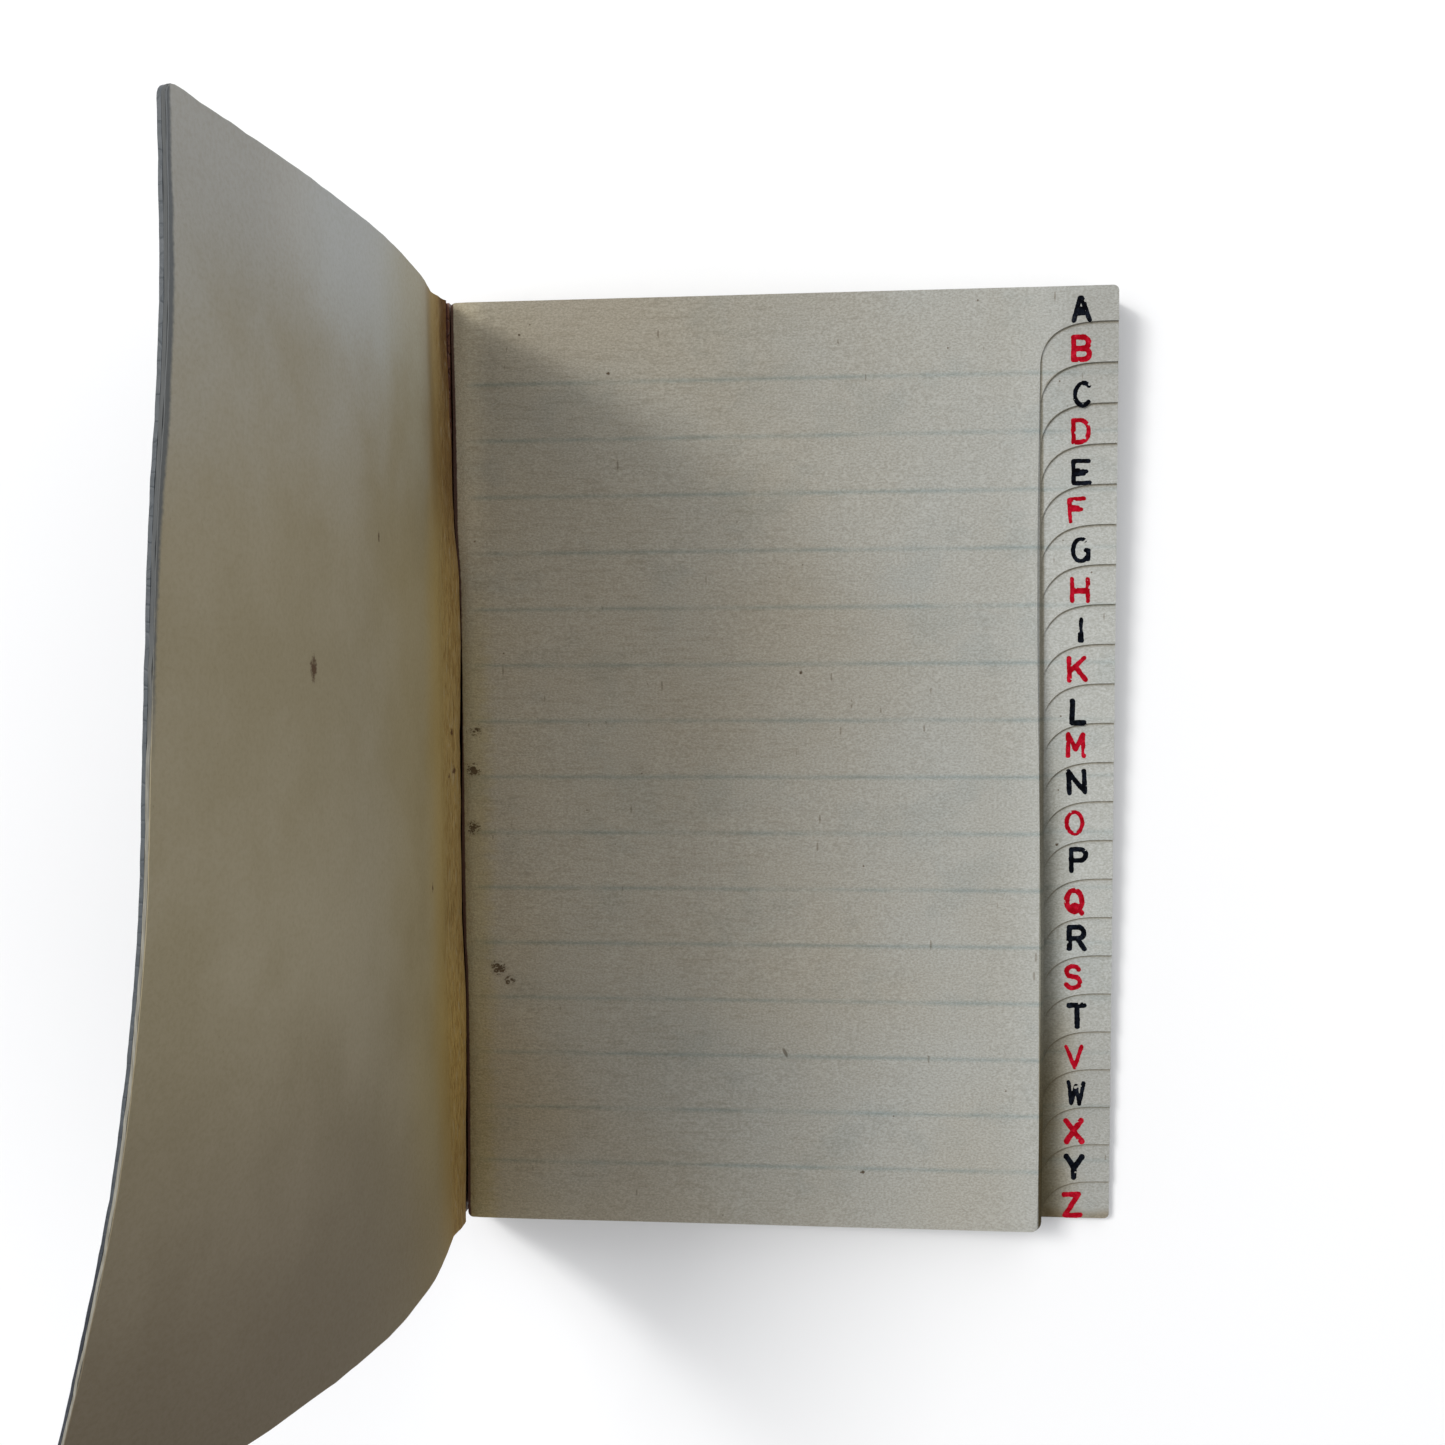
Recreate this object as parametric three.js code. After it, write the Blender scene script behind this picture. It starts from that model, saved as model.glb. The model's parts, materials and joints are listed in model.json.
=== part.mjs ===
// A pocket index book: twenty-four single leaves, step-cut along the fore edge into lettered tabs,
// held at the spine by glue and a strip of cloth in a flexible leather cover.
// Millimetres. +Z is up, +Y runs towards the head of the book and +X from the spine to the fore edge.
// The book lies on its back cover, and its front cover stands open, curled as it is after long use.
// The origin is on the table, under the middle of the leaves.

import * as THREE from "three";

// Leaves: A7 paper with rounded corners
const LEAF_HEIGHT = 105;
const LEAF_WIDTH = 74;
const LEAF_THICKNESS = 0.14;
const LEAF_GAP = 0.08;
const LEAF_CORNER = 0.6;
const LETTERS = "ABCDEFGHIKLMNOPQRSTVWXYZ";

// Index along the fore edge: each leaf keeps one tab and is cut away below it along a curve
const TAB_WIDTH = 8.5;
const FIRST_TAB_HEIGHT = 3.84;
const CUT_HEIGHT = 5.5;
const CUT_RUN = 5;
const CUT_DROP = 0.45;
const CUT_SHOULDER = 1.2;

// Cover: leather outside, card in the middle, lining paper inside
const LEATHER_THICKNESS = 0.35;
const CARD_THICKNESS = 0.3;
const LINING_THICKNESS = 0.1;
const GLUE_LINE = 0.025;
const COVER_WIDTH = 73.4;
const COVER_CORNER = 0.8;
const COVER_CLEARANCE = 0.1;
const FOLD_CLEARANCE = 0.05;

// How the front cover stands: its opening at the fold, and how far its free edge has curled over
const COVER_OPENING = 85.6;
const HEAD_TURN = 13.8;
const TAIL_TURN = 46;

// Spine, from the roots of the leaves outwards
const ROOT_CLEARANCE = 0.45;
const SPINE_GLUE_THICKNESS = 0.2;
const SPINE_CLOTH_THICKNESS = 0.2;
const SPINE_END_CLEARANCE = 0.15;

// Steps along curves
const CORNER_STEPS = 4;
const CUT_STEPS = 10;
const CURL_STEPS = 20;
const TWIST_STEPS = 12;

const LEAF_COUNT = LETTERS.length;
const LEAF_PITCH = LEAF_THICKNESS + LEAF_GAP;
const TAB_PITCH = (LEAF_HEIGHT - FIRST_TAB_HEIGHT) / (LEAF_COUNT - 1);
const BODY_WIDTH = LEAF_WIDTH - TAB_WIDTH;
const HALF_HEIGHT = LEAF_HEIGHT / 2;
const LEAF_ROOT_X = -LEAF_WIDTH / 2;

// The layers of a cover, as depths from its outer face
const CARD_DEPTH = LEATHER_THICKNESS + GLUE_LINE;
const LINING_DEPTH = CARD_DEPTH + CARD_THICKNESS + GLUE_LINE;
const COVER_THICKNESS = LINING_DEPTH + LINING_THICKNESS;

// Heights over the table
const LAST_LEAF_Z = COVER_THICKNESS + COVER_CLEARANCE;
const FIRST_LEAF_TOP = LAST_LEAF_Z + (LEAF_COUNT - 1) * LEAF_PITCH + LEAF_THICKNESS;
const BOOK_THICKNESS = FIRST_LEAF_TOP + COVER_CLEARANCE + COVER_THICKNESS;

// Places across the spine
const GLUE_X = LEAF_ROOT_X - ROOT_CLEARANCE - SPINE_GLUE_THICKNESS;
const CLOTH_X = GLUE_X - GLUE_LINE - SPINE_CLOTH_THICKNESS;
const SPINE_X = CLOTH_X - GLUE_LINE - LEATHER_THICKNESS;
const FOLD_GAP = LEATHER_THICKNESS + FOLD_CLEARANCE;

const materials = {
  leather: new THREE.MeshStandardMaterial({ color: 0x20242c, roughness: 0.55, metalness: 0 }),
  card: new THREE.MeshStandardMaterial({ color: 0xb5aa92, roughness: 0.9, metalness: 0 }),
  lining: new THREE.MeshStandardMaterial({ color: 0xb9b3a2, roughness: 0.85, metalness: 0 }),
  glue: new THREE.MeshStandardMaterial({ color: 0x6b5434, roughness: 0.5, metalness: 0 }),
  cloth: new THREE.MeshStandardMaterial({ color: 0x4a1418, roughness: 0.9, metalness: 0 }),
  paper: new THREE.MeshStandardMaterial({ color: 0xd0cbbf, roughness: 0.9, metalness: 0 }),
};

function piece(name, geometry, material, x, y, z) {
  const mesh = new THREE.Mesh(geometry, material);
  mesh.name = name;
  mesh.position.set(x, y, z);
  return mesh;
}

function extrude(outline, thickness) {
  const options = { depth: thickness, bevelEnabled: false, curveSegments: CORNER_STEPS };
  return new THREE.ExtrudeGeometry(outline, options);
}

// One corner of an outline, going round it counterclockwise
function corner(outline, x, y, radius, quarter) {
  const start = (quarter * Math.PI) / 2;
  outline.absarc(x, y, radius, start, start + Math.PI / 2, false);
}

const tabBottom = (leaf) => HALF_HEIGHT - FIRST_TAB_HEIGHT - leaf * TAB_PITCH;

// The curved part of one index cut, from the body of the leaf out to the tab's lower corner.
// On the leaves near the tail the cut runs off the foot of the leaf, so its lowest points go.
function cutPoints(leaf) {
  const y = tabBottom(leaf);
  const curve = new THREE.CubicBezierCurve(
    new THREE.Vector2(BODY_WIDTH, y - CUT_HEIGHT),
    new THREE.Vector2(BODY_WIDTH, y - CUT_SHOULDER),
    new THREE.Vector2(LEAF_WIDTH - CUT_RUN, y - CUT_DROP),
    new THREE.Vector2(LEAF_WIDTH, y),
  );
  return curve.getPoints(CUT_STEPS).filter((point) => point.y > LEAF_CORNER - HALF_HEIGHT);
}

function leafOutline(leaf) {
  const isLast = leaf === LEAF_COUNT - 1;
  const footWidth = isLast ? LEAF_WIDTH : BODY_WIDTH;
  const edge = HALF_HEIGHT - LEAF_CORNER;
  const outline = new THREE.Shape();
  outline.moveTo(LEAF_CORNER, -HALF_HEIGHT);
  corner(outline, footWidth - LEAF_CORNER, -edge, LEAF_CORNER, 3);
  if (!isLast) {
    for (const point of cutPoints(leaf)) outline.lineTo(point.x, point.y);
  }
  corner(outline, LEAF_WIDTH - LEAF_CORNER, edge, LEAF_CORNER, 0);
  corner(outline, LEAF_CORNER, edge, LEAF_CORNER, 1);
  corner(outline, LEAF_CORNER, -edge, LEAF_CORNER, 2);
  outline.closePath();
  return outline;
}

function makeLeaf(leaf) {
  const z = LAST_LEAF_Z + (LEAF_COUNT - 1 - leaf) * LEAF_PITCH;
  const geometry = extrude(leafOutline(leaf), LEAF_THICKNESS);
  return piece("leaf_" + LETTERS[leaf], geometry, materials.paper, LEAF_ROOT_X, 0, z);
}

function makeLeaves() {
  const leaves = new THREE.Group();
  for (let leaf = 0; leaf < LEAF_COUNT; leaf++) leaves.add(makeLeaf(leaf));
  return leaves;
}

// A flat layer of a cover, from the fold gap to the fore edge
function flatLayer(thickness) {
  const edge = HALF_HEIGHT - COVER_CORNER;
  const outline = new THREE.Shape();
  outline.moveTo(FOLD_GAP, -HALF_HEIGHT);
  corner(outline, COVER_WIDTH - COVER_CORNER, -edge, COVER_CORNER, 3);
  corner(outline, COVER_WIDTH - COVER_CORNER, edge, COVER_CORNER, 0);
  outline.lineTo(FOLD_GAP, HALF_HEIGHT);
  outline.closePath();
  return extrude(outline, thickness);
}

function makeBackCover() {
  const cover = new THREE.Group();
  const leather = flatLayer(LEATHER_THICKNESS);
  const card = flatLayer(CARD_THICKNESS);
  const lining = flatLayer(LINING_THICKNESS);
  cover.add(
    piece("back_cover_leather", leather, materials.leather, 0, 0, 0),
    piece("back_cover_card", card, materials.card, 0, 0, CARD_DEPTH),
    piece("back_cover_lining", lining, materials.lining, 0, 0, LINING_DEPTH),
  );
  cover.position.x = SPINE_X;
  return cover;
}

// The angle that the cover has turned by its free edge: a little at the head, far more at the tail
function freeEdgeTurn(y) {
  const fromHead = 0.5 - y / LEAF_HEIGHT;
  const turn = HEAD_TURN * (TAIL_TURN / HEAD_TURN) ** (fromHead ** 2);
  return THREE.MathUtils.degToRad(turn);
}

// A point of the curled cover: out from the fold, up the book, and in from the outer face.
// The cover leaves the fold straight and curls more and more tightly on its way out, so its turn
// grows with the square of the way. Run and rise are the first terms of the sums for such a curve.
function curledPoint(out, y, depth) {
  const turn = freeEdgeTurn(y) * (out / COVER_WIDTH) ** 2;
  const run = out * (1 - turn ** 2 / 10 + turn ** 4 / 216);
  const rise = out * (turn / 3 - turn ** 3 / 42 + turn ** 5 / 1320);
  return [run + depth * Math.sin(turn), y, rise - depth * Math.cos(turn)];
}

// The heights of the rows of points: close together round the two corners, even between them
function rowHeights() {
  const edge = HALF_HEIGHT - COVER_CORNER;
  const heights = [];
  for (let i = 0; i < CORNER_STEPS; i++) {
    heights.push(edge + COVER_CORNER * Math.cos((i * Math.PI) / 2 / CORNER_STEPS));
  }
  for (let i = 0; i <= TWIST_STEPS; i++) heights.push(edge - (2 * edge * i) / TWIST_STEPS);
  for (let i = CORNER_STEPS - 1; i >= 0; i--) heights.push(-heights[i]);
  return heights.reverse();
}

function reachAt(y) {
  const round = Math.max(0, Math.abs(y) - HALF_HEIGHT + COVER_CORNER);
  return COVER_WIDTH - COVER_CORNER + Math.sqrt(Math.max(0, COVER_CORNER ** 2 - round ** 2));
}

// The corners of one layer's grid, first on its outer face and then on its inner face
function curledPositions(outerDepth, innerDepth) {
  const positions = [];
  for (const depth of [outerDepth, innerDepth]) {
    for (const y of rowHeights()) {
      for (let i = 0; i <= CURL_STEPS; i++) {
        const out = THREE.MathUtils.lerp(FOLD_GAP, reachAt(y), i / CURL_STEPS);
        positions.push(...curledPoint(out, y, depth));
      }
    }
  }
  return positions;
}

// Triangles of a closed sheet of rows and columns: two faces, and a wall round the edge
function sheetTriangles(rows, columns) {
  const triangles = [];
  const face = rows * columns;
  const quad = (a, b, c, d) => triangles.push(a, b, c, a, c, d);
  for (let row = 0; row < rows - 1; row++) {
    for (let column = 0; column < columns - 1; column++) {
      const a = row * columns + column;
      const d = a + columns;
      quad(a, a + 1, d + 1, d);
      quad(face + a, face + d, face + d + 1, face + a + 1);
    }
  }
  const wall = (a, b) => quad(a, face + a, face + b, b);
  const last = (rows - 1) * columns;
  for (let column = 0; column < columns - 1; column++) {
    wall(column, column + 1);
    wall(last + column + 1, last + column);
  }
  for (let row = 0; row < rows - 1; row++) {
    wall((row + 1) * columns, row * columns);
    wall(row * columns + columns - 1, (row + 1) * columns + columns - 1);
  }
  return triangles;
}

function curledLayer(depth, thickness) {
  const geometry = new THREE.BufferGeometry();
  const positions = curledPositions(depth, depth + thickness);
  geometry.setAttribute("position", new THREE.Float32BufferAttribute(positions, 3));
  geometry.setIndex(sheetTriangles(rowHeights().length, CURL_STEPS + 1));
  geometry.computeVertexNormals();
  return geometry;
}

function makeFrontCover() {
  const cover = new THREE.Group();
  const leather = curledLayer(0, LEATHER_THICKNESS);
  const card = curledLayer(CARD_DEPTH, CARD_THICKNESS);
  const lining = curledLayer(LINING_DEPTH, LINING_THICKNESS);
  cover.add(
    piece("front_cover_leather", leather, materials.leather, 0, 0, 0),
    piece("front_cover_card", card, materials.card, 0, 0, 0),
    piece("front_cover_lining", lining, materials.lining, 0, 0, 0),
  );
  cover.position.set(SPINE_X, 0, BOOK_THICKNESS);
  cover.rotation.y = -THREE.MathUtils.degToRad(COVER_OPENING);
  return cover;
}

// A strip down the spine, at a distance from the outer faces of the two covers
function spineStrip(name, material, x, thickness, endDistance) {
  const width = BOOK_THICKNESS - 2 * endDistance;
  const geometry = new THREE.BoxGeometry(thickness, LEAF_HEIGHT, width);
  return piece(name, geometry, material, x + thickness / 2, 0, BOOK_THICKNESS / 2);
}

function makeSpine() {
  const spine = new THREE.Group();
  const inside = COVER_THICKNESS + SPINE_END_CLEARANCE;
  spine.add(
    spineStrip("spine_leather", materials.leather, SPINE_X, LEATHER_THICKNESS, FOLD_GAP),
    spineStrip("spine_cloth", materials.cloth, CLOTH_X, SPINE_CLOTH_THICKNESS, inside),
    spineStrip("spine_glue", materials.glue, GLUE_X, SPINE_GLUE_THICKNESS, inside),
  );
  return spine;
}

const book = new THREE.Group();
book.add(makeLeaves(), makeSpine(), makeBackCover(), makeFrontCover());

export default book;
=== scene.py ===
# %% [markdown]
# # A pocket index book in Blender
#
# This lesson dresses a small address book: 24 ruled leaves, step-cut down the right-hand edge into
# lettered tabs, in a flexible leather cover that stands open. The book's working parts come as a
# fixed frame of plain solids, in metres, so every piece made here starts from the frame's sizes.
# Reading them from the frame, and not typing them again, keeps the looks and the frame together.

# %% Load the frame
import json
import math

import bpy
import numpy as np
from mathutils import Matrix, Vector, noise
from mathutils.geometry import delaunay_2d_cdt


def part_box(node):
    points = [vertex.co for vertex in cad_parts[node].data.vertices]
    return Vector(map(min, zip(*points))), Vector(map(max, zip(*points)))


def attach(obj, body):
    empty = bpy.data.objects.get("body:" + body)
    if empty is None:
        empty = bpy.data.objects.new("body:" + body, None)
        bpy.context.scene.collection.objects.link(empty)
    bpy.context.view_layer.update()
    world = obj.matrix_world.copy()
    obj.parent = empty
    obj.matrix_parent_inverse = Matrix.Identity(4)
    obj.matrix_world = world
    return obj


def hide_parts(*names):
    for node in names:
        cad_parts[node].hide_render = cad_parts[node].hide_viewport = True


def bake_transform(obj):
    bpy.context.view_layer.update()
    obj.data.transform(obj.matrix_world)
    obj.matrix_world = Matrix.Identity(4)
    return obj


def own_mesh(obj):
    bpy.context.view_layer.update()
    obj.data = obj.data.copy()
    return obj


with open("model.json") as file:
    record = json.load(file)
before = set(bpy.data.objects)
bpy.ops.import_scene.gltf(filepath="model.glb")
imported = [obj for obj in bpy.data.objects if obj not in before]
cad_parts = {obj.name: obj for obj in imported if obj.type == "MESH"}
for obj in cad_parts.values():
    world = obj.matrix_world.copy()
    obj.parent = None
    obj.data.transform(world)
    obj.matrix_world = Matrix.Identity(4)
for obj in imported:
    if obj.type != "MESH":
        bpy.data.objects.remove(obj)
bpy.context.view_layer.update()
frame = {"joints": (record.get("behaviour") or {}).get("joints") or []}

# %% [markdown]
# ## The sizes that everything shares
#
# The leaves, the cover and the spine all meet at the two folds, so their sizes are worked out once.
# A hinge in the frame gives the place of its fold, and a node's box its height over the table.

# %% Read the book's sizes
MM = 0.001
LETTERS = "ABCDEFGHIKLMNOPQRSTVWXYZ"

leaf_low, leaf_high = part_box("leaf_A")
ROOT_X = leaf_low.x
FORE_X = leaf_high.x
HALF_HEIGHT = leaf_high.y
LEAF_WIDTH = FORE_X - ROOT_X

joints = {joint["name"]: joint for joint in frame["joints"]}
FRONT_FOLD = Vector(joints["front_cover_hinge"]["pos_m"])
BACK_FOLD = Vector(joints["back_cover_hinge"]["pos_m"])
print("leaf", round(LEAF_WIDTH / MM, 2), "x", round(2 * HALF_HEIGHT / MM, 2), "mm,",
      "front fold at", [round(v / MM, 3) for v in FRONT_FOLD])

# %% [markdown]
# ## The camera
#
# The photograph was taken from close above the page with a phone, so the standing cover looms large
# and its free edge runs out of the picture. A near camera with a normal lens gives that; a far
# camera with a long lens would flatten the cover to a sliver. The place and the turn below were
# solved from the corners of the top leaf and its index cuts.

# %% Set up the camera
CAMERA_PLACE = Vector((11.09, 13.89, 189.85)) * MM
CAMERA_TURN = (-0.04928, 0.09610, -0.00717)
CAMERA_LENS = 40.86
SENSOR = 36.0

camera_data = bpy.data.cameras.new("photo_camera")
camera_data.lens = CAMERA_LENS
camera_data.sensor_width = SENSOR
camera_data.clip_start = 0.01
camera = bpy.data.objects.new("photo_camera", camera_data)
camera.location = CAMERA_PLACE
camera.rotation_euler = CAMERA_TURN
bpy.context.scene.collection.objects.link(camera)
bpy.context.scene.camera = camera
print("camera", round(CAMERA_PLACE.z / MM), "mm over the table")

# %% [markdown]
# ## Light
#
# The book was lit from beyond its upper left corner. The standing cover throws a shadow from there
# across the page, crisp where it starts at the fold and softer further on, and the tabs on the far
# right stay brightest. A narrow upright window gives that: its width blurs the edge that runs away
# from the fold only a little, and its height blurs the shadow of the free edge a lot. A blind round
# it and a broad curtain beside it make the slow change across the page. A lamp from the head opens
# the shade on the lining, a weak one from the right reaches down into the fold, and the pale
# surroundings fill the rest. A sun would cut the shadow too hard.

# %% Make the light
DAYLIGHT = (1.0, 0.992, 0.98)


def area_light(name, place, target, size, power, colour, tall=None):
    """A round lamp, or an upright window where a height is given too."""
    data = bpy.data.lights.new(name, "AREA")
    data.shape = "RECTANGLE" if tall else "DISK"
    data.size = size
    if tall:
        data.size_y = tall
    data.energy = power
    data.color = colour
    lamp = bpy.data.objects.new(name, data)
    lamp.location = place
    direction = Vector(target) - Vector(place)
    lamp.rotation_euler = direction.to_track_quat("-Z", "Y").to_euler()
    bpy.context.scene.collection.objects.link(lamp)
    return lamp


area_light("window", (-0.73, 0.50, 1.27), (0.0, 0.0, 0.0), 0.17, 6.6, DAYLIGHT, tall=0.45)
area_light("blind", (-0.70, 0.53, 1.27), (0.0, 0.0, 0.0), 0.60, 4.8, DAYLIGHT)
area_light("curtain", (-0.90, 0.35, 1.50), (0.0, 0.0, 0.0), 1.6, 8.7, (1.0, 0.995, 0.985))
area_light("sky", (0.45, 1.6, 1.2), (0.0, 0.0, 0.02), 1.6, 7.5, (0.97, 0.985, 1.0))
area_light("room", (0.90, -0.10, 1.30), (0.0, 0.0, 0.02), 1.2, 3.9, (1.0, 0.985, 0.96))

world = bpy.data.worlds.new("pale_room")
world.use_nodes = True
surroundings = world.node_tree.nodes["Background"].inputs
surroundings["Color"].default_value = (0.93, 0.95, 1.0, 1.0)
surroundings["Strength"].default_value = 0.42
bpy.context.scene.world = world
print(len(bpy.data.lights), "lamps and the pale surroundings")

# %% [markdown]
# ## Shader maths as Python
#
# Aged paper and worn leather are sums of small effects: a grain, a stain, a few specks. Written as
# chains of nodes they are long to read. A small class that wraps a socket lets the same sums be
# written as ordinary expressions, and one method makes every other kind of node.

# %% Write the two shader helpers
class Value:
    """One number, colour or vector in a shader, with arithmetic for the numbers."""

    def __init__(self, finish, socket):
        self.finish = finish
        self.socket = socket

    def math(self, operation, *values):
        return self.finish.node("ShaderNodeMath", {"operation": operation}, dict(enumerate(values)))

    def __add__(self, other):
        return self.math("ADD", self, other)

    __radd__ = __add__

    def __sub__(self, other):
        return self.math("SUBTRACT", self, other)

    def __rsub__(self, other):
        return self.math("SUBTRACT", other, self)

    def __mul__(self, other):
        return self.math("MULTIPLY", self, other)

    __rmul__ = __mul__

    def __truediv__(self, other):
        return self.math("DIVIDE", self, other)

    def __rtruediv__(self, other):
        return self.math("DIVIDE", other, self)

    def __pow__(self, other):
        return self.math("POWER", self, other)

    def __rpow__(self, other):
        return self.math("POWER", other, self)

    def __abs__(self):
        return self.math("ABSOLUTE", self)

    def step(self, low, high):
        """0 below low and 1 above high, with a smooth rise between them; high may be the lower."""
        settings = {"interpolation_type": "SMOOTHSTEP"}
        if low < high:
            return self.finish.node("ShaderNodeMapRange", settings, {0: self, 1: low, 2: high})
        return 1 - self.finish.node("ShaderNodeMapRange", settings, {0: self, 1: high, 2: low})

    def at_least(self, other):
        return self.math("MAXIMUM", self, other)

    def at_most(self, other):
        return self.math("MINIMUM", self, other)

    def sine(self):
        return self.math("SINE", self)

    def fraction(self):
        return self.math("FRACT", self)

    def to_and_fro(self, length):
        """Up from 0 to the length and down again, over and over."""
        return self.math("PINGPONG", self, length)


class Finish:
    """A material with one Principled shader, built up node by node."""

    def __init__(self, name):
        self.material = bpy.data.materials.new(name)
        self.material.use_nodes = True
        self.tree = self.material.node_tree
        self.shader = self.tree.nodes["Principled BSDF"]
        self.places = self.node("ShaderNodeTexCoord", output="Object")

    def node(self, kind, settings=None, inputs=None, output=0):
        made = self.tree.nodes.new(kind)
        for key, value in (settings or {}).items():
            setattr(made, key, value)
        for key, value in (inputs or {}).items():
            self.put(made.inputs[key], value)
        return Value(self, made.outputs[output])

    def put(self, socket, value):
        if isinstance(value, Value):
            self.tree.links.new(value.socket, socket)
        else:
            socket.default_value = value

    def axis(self, name):
        """The place on the book along X, Y or Z, in millimetres."""
        return self.node("ShaderNodeSeparateXYZ", inputs={0: self.places}, output=name) / MM

    def stretched(self, x, y, z):
        """Places in millimetres, multiplied along each axis, for noise that is longer one way."""
        inputs = {0: self.places, 1: (x / MM, y / MM, z / MM)}
        return self.node("ShaderNodeVectorMath", {"operation": "MULTIPLY"}, inputs)

    def noise(self, per_mm, detail=3.0, rough=0.5, stretch=(1, 1, 1), wavy=0.0):
        inputs = {"Vector": self.stretched(*stretch), "Scale": per_mm,
                  "Detail": detail, "Roughness": rough, "Distortion": wavy}
        return self.node("ShaderNodeTexNoise", inputs=inputs, output="Fac")

    def cells(self, per_mm, feature="F1", output="Distance", stretch=(1, 1, 1), randomness=1.0):
        inputs = {"Vector": self.stretched(*stretch), "Scale": per_mm, "Randomness": randomness}
        return self.node("ShaderNodeTexVoronoi", {"feature": feature}, inputs, output)

    def mix(self, share, first, second, blend="MIX"):
        settings = {"data_type": "RGBA", "blend_type": blend}
        inputs = {0: share, 6: rgba(first), 7: rgba(second)}
        return self.node("ShaderNodeMix", settings, inputs, output=2)

    def shade(self, share, colour, tint):
        """The colour multiplied by a tint, by a share from 0 to 1."""
        return self.mix(share, colour, tint, blend="MULTIPLY")

    def bump(self, height, depth_mm, under=None):
        """A relief of the given depth, laid over another relief where one is given."""
        inputs = {"Height": height, "Distance": depth_mm * MM, "Strength": 1.0}
        if under is not None:
            inputs["Normal"] = under
        return self.node("ShaderNodeBump", inputs=inputs)

    def finish(self, **sockets):
        for key, value in sockets.items():
            self.put(self.shader.inputs[key.replace("_", " ")], value)
        return self.material


def rgba(colour):
    return (*colour, 1.0) if isinstance(colour, tuple) and len(colour) == 3 else colour


print("shader helpers ready")

# %% [markdown]
# ## From points to a piece
#
# Everything in this book is a thin sheet. A Solidify modifier could thicken a surface, but then all
# the edges of all the layers would end alike. So a sheet here is two copies of one grid of points,
# a front and a back, with a wall round the edge, and each layer has a say in where its edge lies.
# Faces are smooth, and edges sharper than a set angle stay crisp, as cut paper does.

# %% Write the piece helpers
CRISP_ANGLE = math.radians(35)


def grid_faces(rows, columns):
    """The faces of a grid of points that are listed row after row."""
    starts = [row * columns + column for row in range(rows - 1) for column in range(columns - 1)]
    return [(a, a + 1, a + columns + 1, a + columns) for a in starts]


def turned_over(faces):
    """The same faces seen from their other side, from the same first corner."""
    return [(face[0], *reversed(face[1:])) for face in faces]


def closed_sheet(front, back, faces):
    """Points and faces of a sheet: its front, its back turned over, and a wall round the edge."""
    count = len(front)
    whole = [tuple(face) for face in faces]
    whole += [tuple(count + corner for corner in reversed(face)) for face in faces]
    steps = {(face[i - 1], face[i]): None for face in faces for i in range(len(face))}
    whole += [(b, a, count + a, count + b) for a, b in steps if (b, a) not in steps]
    return np.vstack([front, back]), whole


def make_piece(name, points_mm, faces, material, body=None):
    mesh = bpy.data.meshes.new(name)
    mesh.from_pydata((np.asarray(points_mm) * MM).tolist(), [], faces)
    mesh.materials.append(material)
    mesh.shade_smooth()
    mesh.set_sharp_from_angle(angle=CRISP_ANGLE)
    piece = bpy.data.objects.new(name, mesh)
    bpy.context.scene.collection.objects.link(piece)
    if body:
        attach(piece, body)
    return piece


def rough(x, y, x_length, y_length, seed=0.0):
    """Smooth noise from -1 to 1 at each place, with bumps about as long as the two lengths."""
    x, y = np.broadcast_arrays(x, y)
    places = zip(np.ravel(x) / x_length, np.ravel(y) / y_length)
    return np.array([noise.noise((a, b, seed)) for a, b in places]).reshape(x.shape)


def ease(value, low, high):
    """0 at low and 1 at high, with a smooth rise between; high may be the lower one."""
    share = np.clip((np.asarray(value, float) - low) / (high - low), 0, 1)
    return share * share * (3 - 2 * share)


def flowing(value, table):
    """A smooth curve through a table of places and heights, read at the given places."""
    places, heights = np.array(table, float).T
    slopes = np.gradient(heights, places)
    i = np.clip(np.searchsorted(places, value) - 1, 0, len(places) - 2)
    span = places[i + 1] - places[i]
    t = np.clip((value - places[i]) / span, 0, 1)
    rising = t * t * (3 - 2 * t)
    bent = t * (1 - t) * span * ((1 - t) * slopes[i] - t * slopes[i + 1])
    return heights[i] * (1 - rising) + heights[i + 1] * rising + bent


print("piece helpers ready")

# %% [markdown]
# ## The paper
#
# The leaves are a cheap laid writing paper, grey-cream with age. Its tone is browner by the gutter,
# where air and glue got at it. Painted shade from the standing cover darkens the left of the page
# and painted bounce light warms it, painted shade darkens its head and tail, painted light lifts
# the root at the head, and a painted shade line marks the gutter. Fine ripples run across it, it
# has darker specks and fibres from the pulp, and some rust-brown foxing. The pale blue lines were
# ruled by pen machine, so they break up where the pen skipped. All of it depends on the place on
# the page in millimetres, which lets one material serve all 24 leaves without any image.

# %% Make the paper
TAB_WIDTH = 8.5
FIRST_TAB_HEIGHT = 3.84
TAB_PITCH = (2 * HALF_HEIGHT / MM - FIRST_TAB_HEIGHT) / (len(LETTERS) - 1)
CUT_X = FORE_X / MM - TAB_WIDTH
FIRST_CUT = HALF_HEIGHT / MM - FIRST_TAB_HEIGHT
CUT_DROP, CUT_ROUND = 4.6, 3.5
BEVEL, BEVEL_LEAVES = 0.7, 4.0
LEAF_PITCH = (leaf_low.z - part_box("leaf_B")[0].z) / MM
FIRST_RULE = 43.2
RULE_PITCH = 6.35
RUST_SPOTS = ((-35.1, 4.1, 0.8), (-35.4, -0.5, 0.9), (-35.5, -7.1, 0.9), (-32.8, -23.3, 1.0),
              (-31.5, -24.7, 0.7), (-19.3, 44.2, 0.25), (-29.4, 48.7, 0.16), (8.9, -46.1, 0.28),
              (2.2, 10.5, 0.22), (30.8, -9.1, 0.2))
FLECK_X, FLECK_Y = 0.2, -32.6


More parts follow.
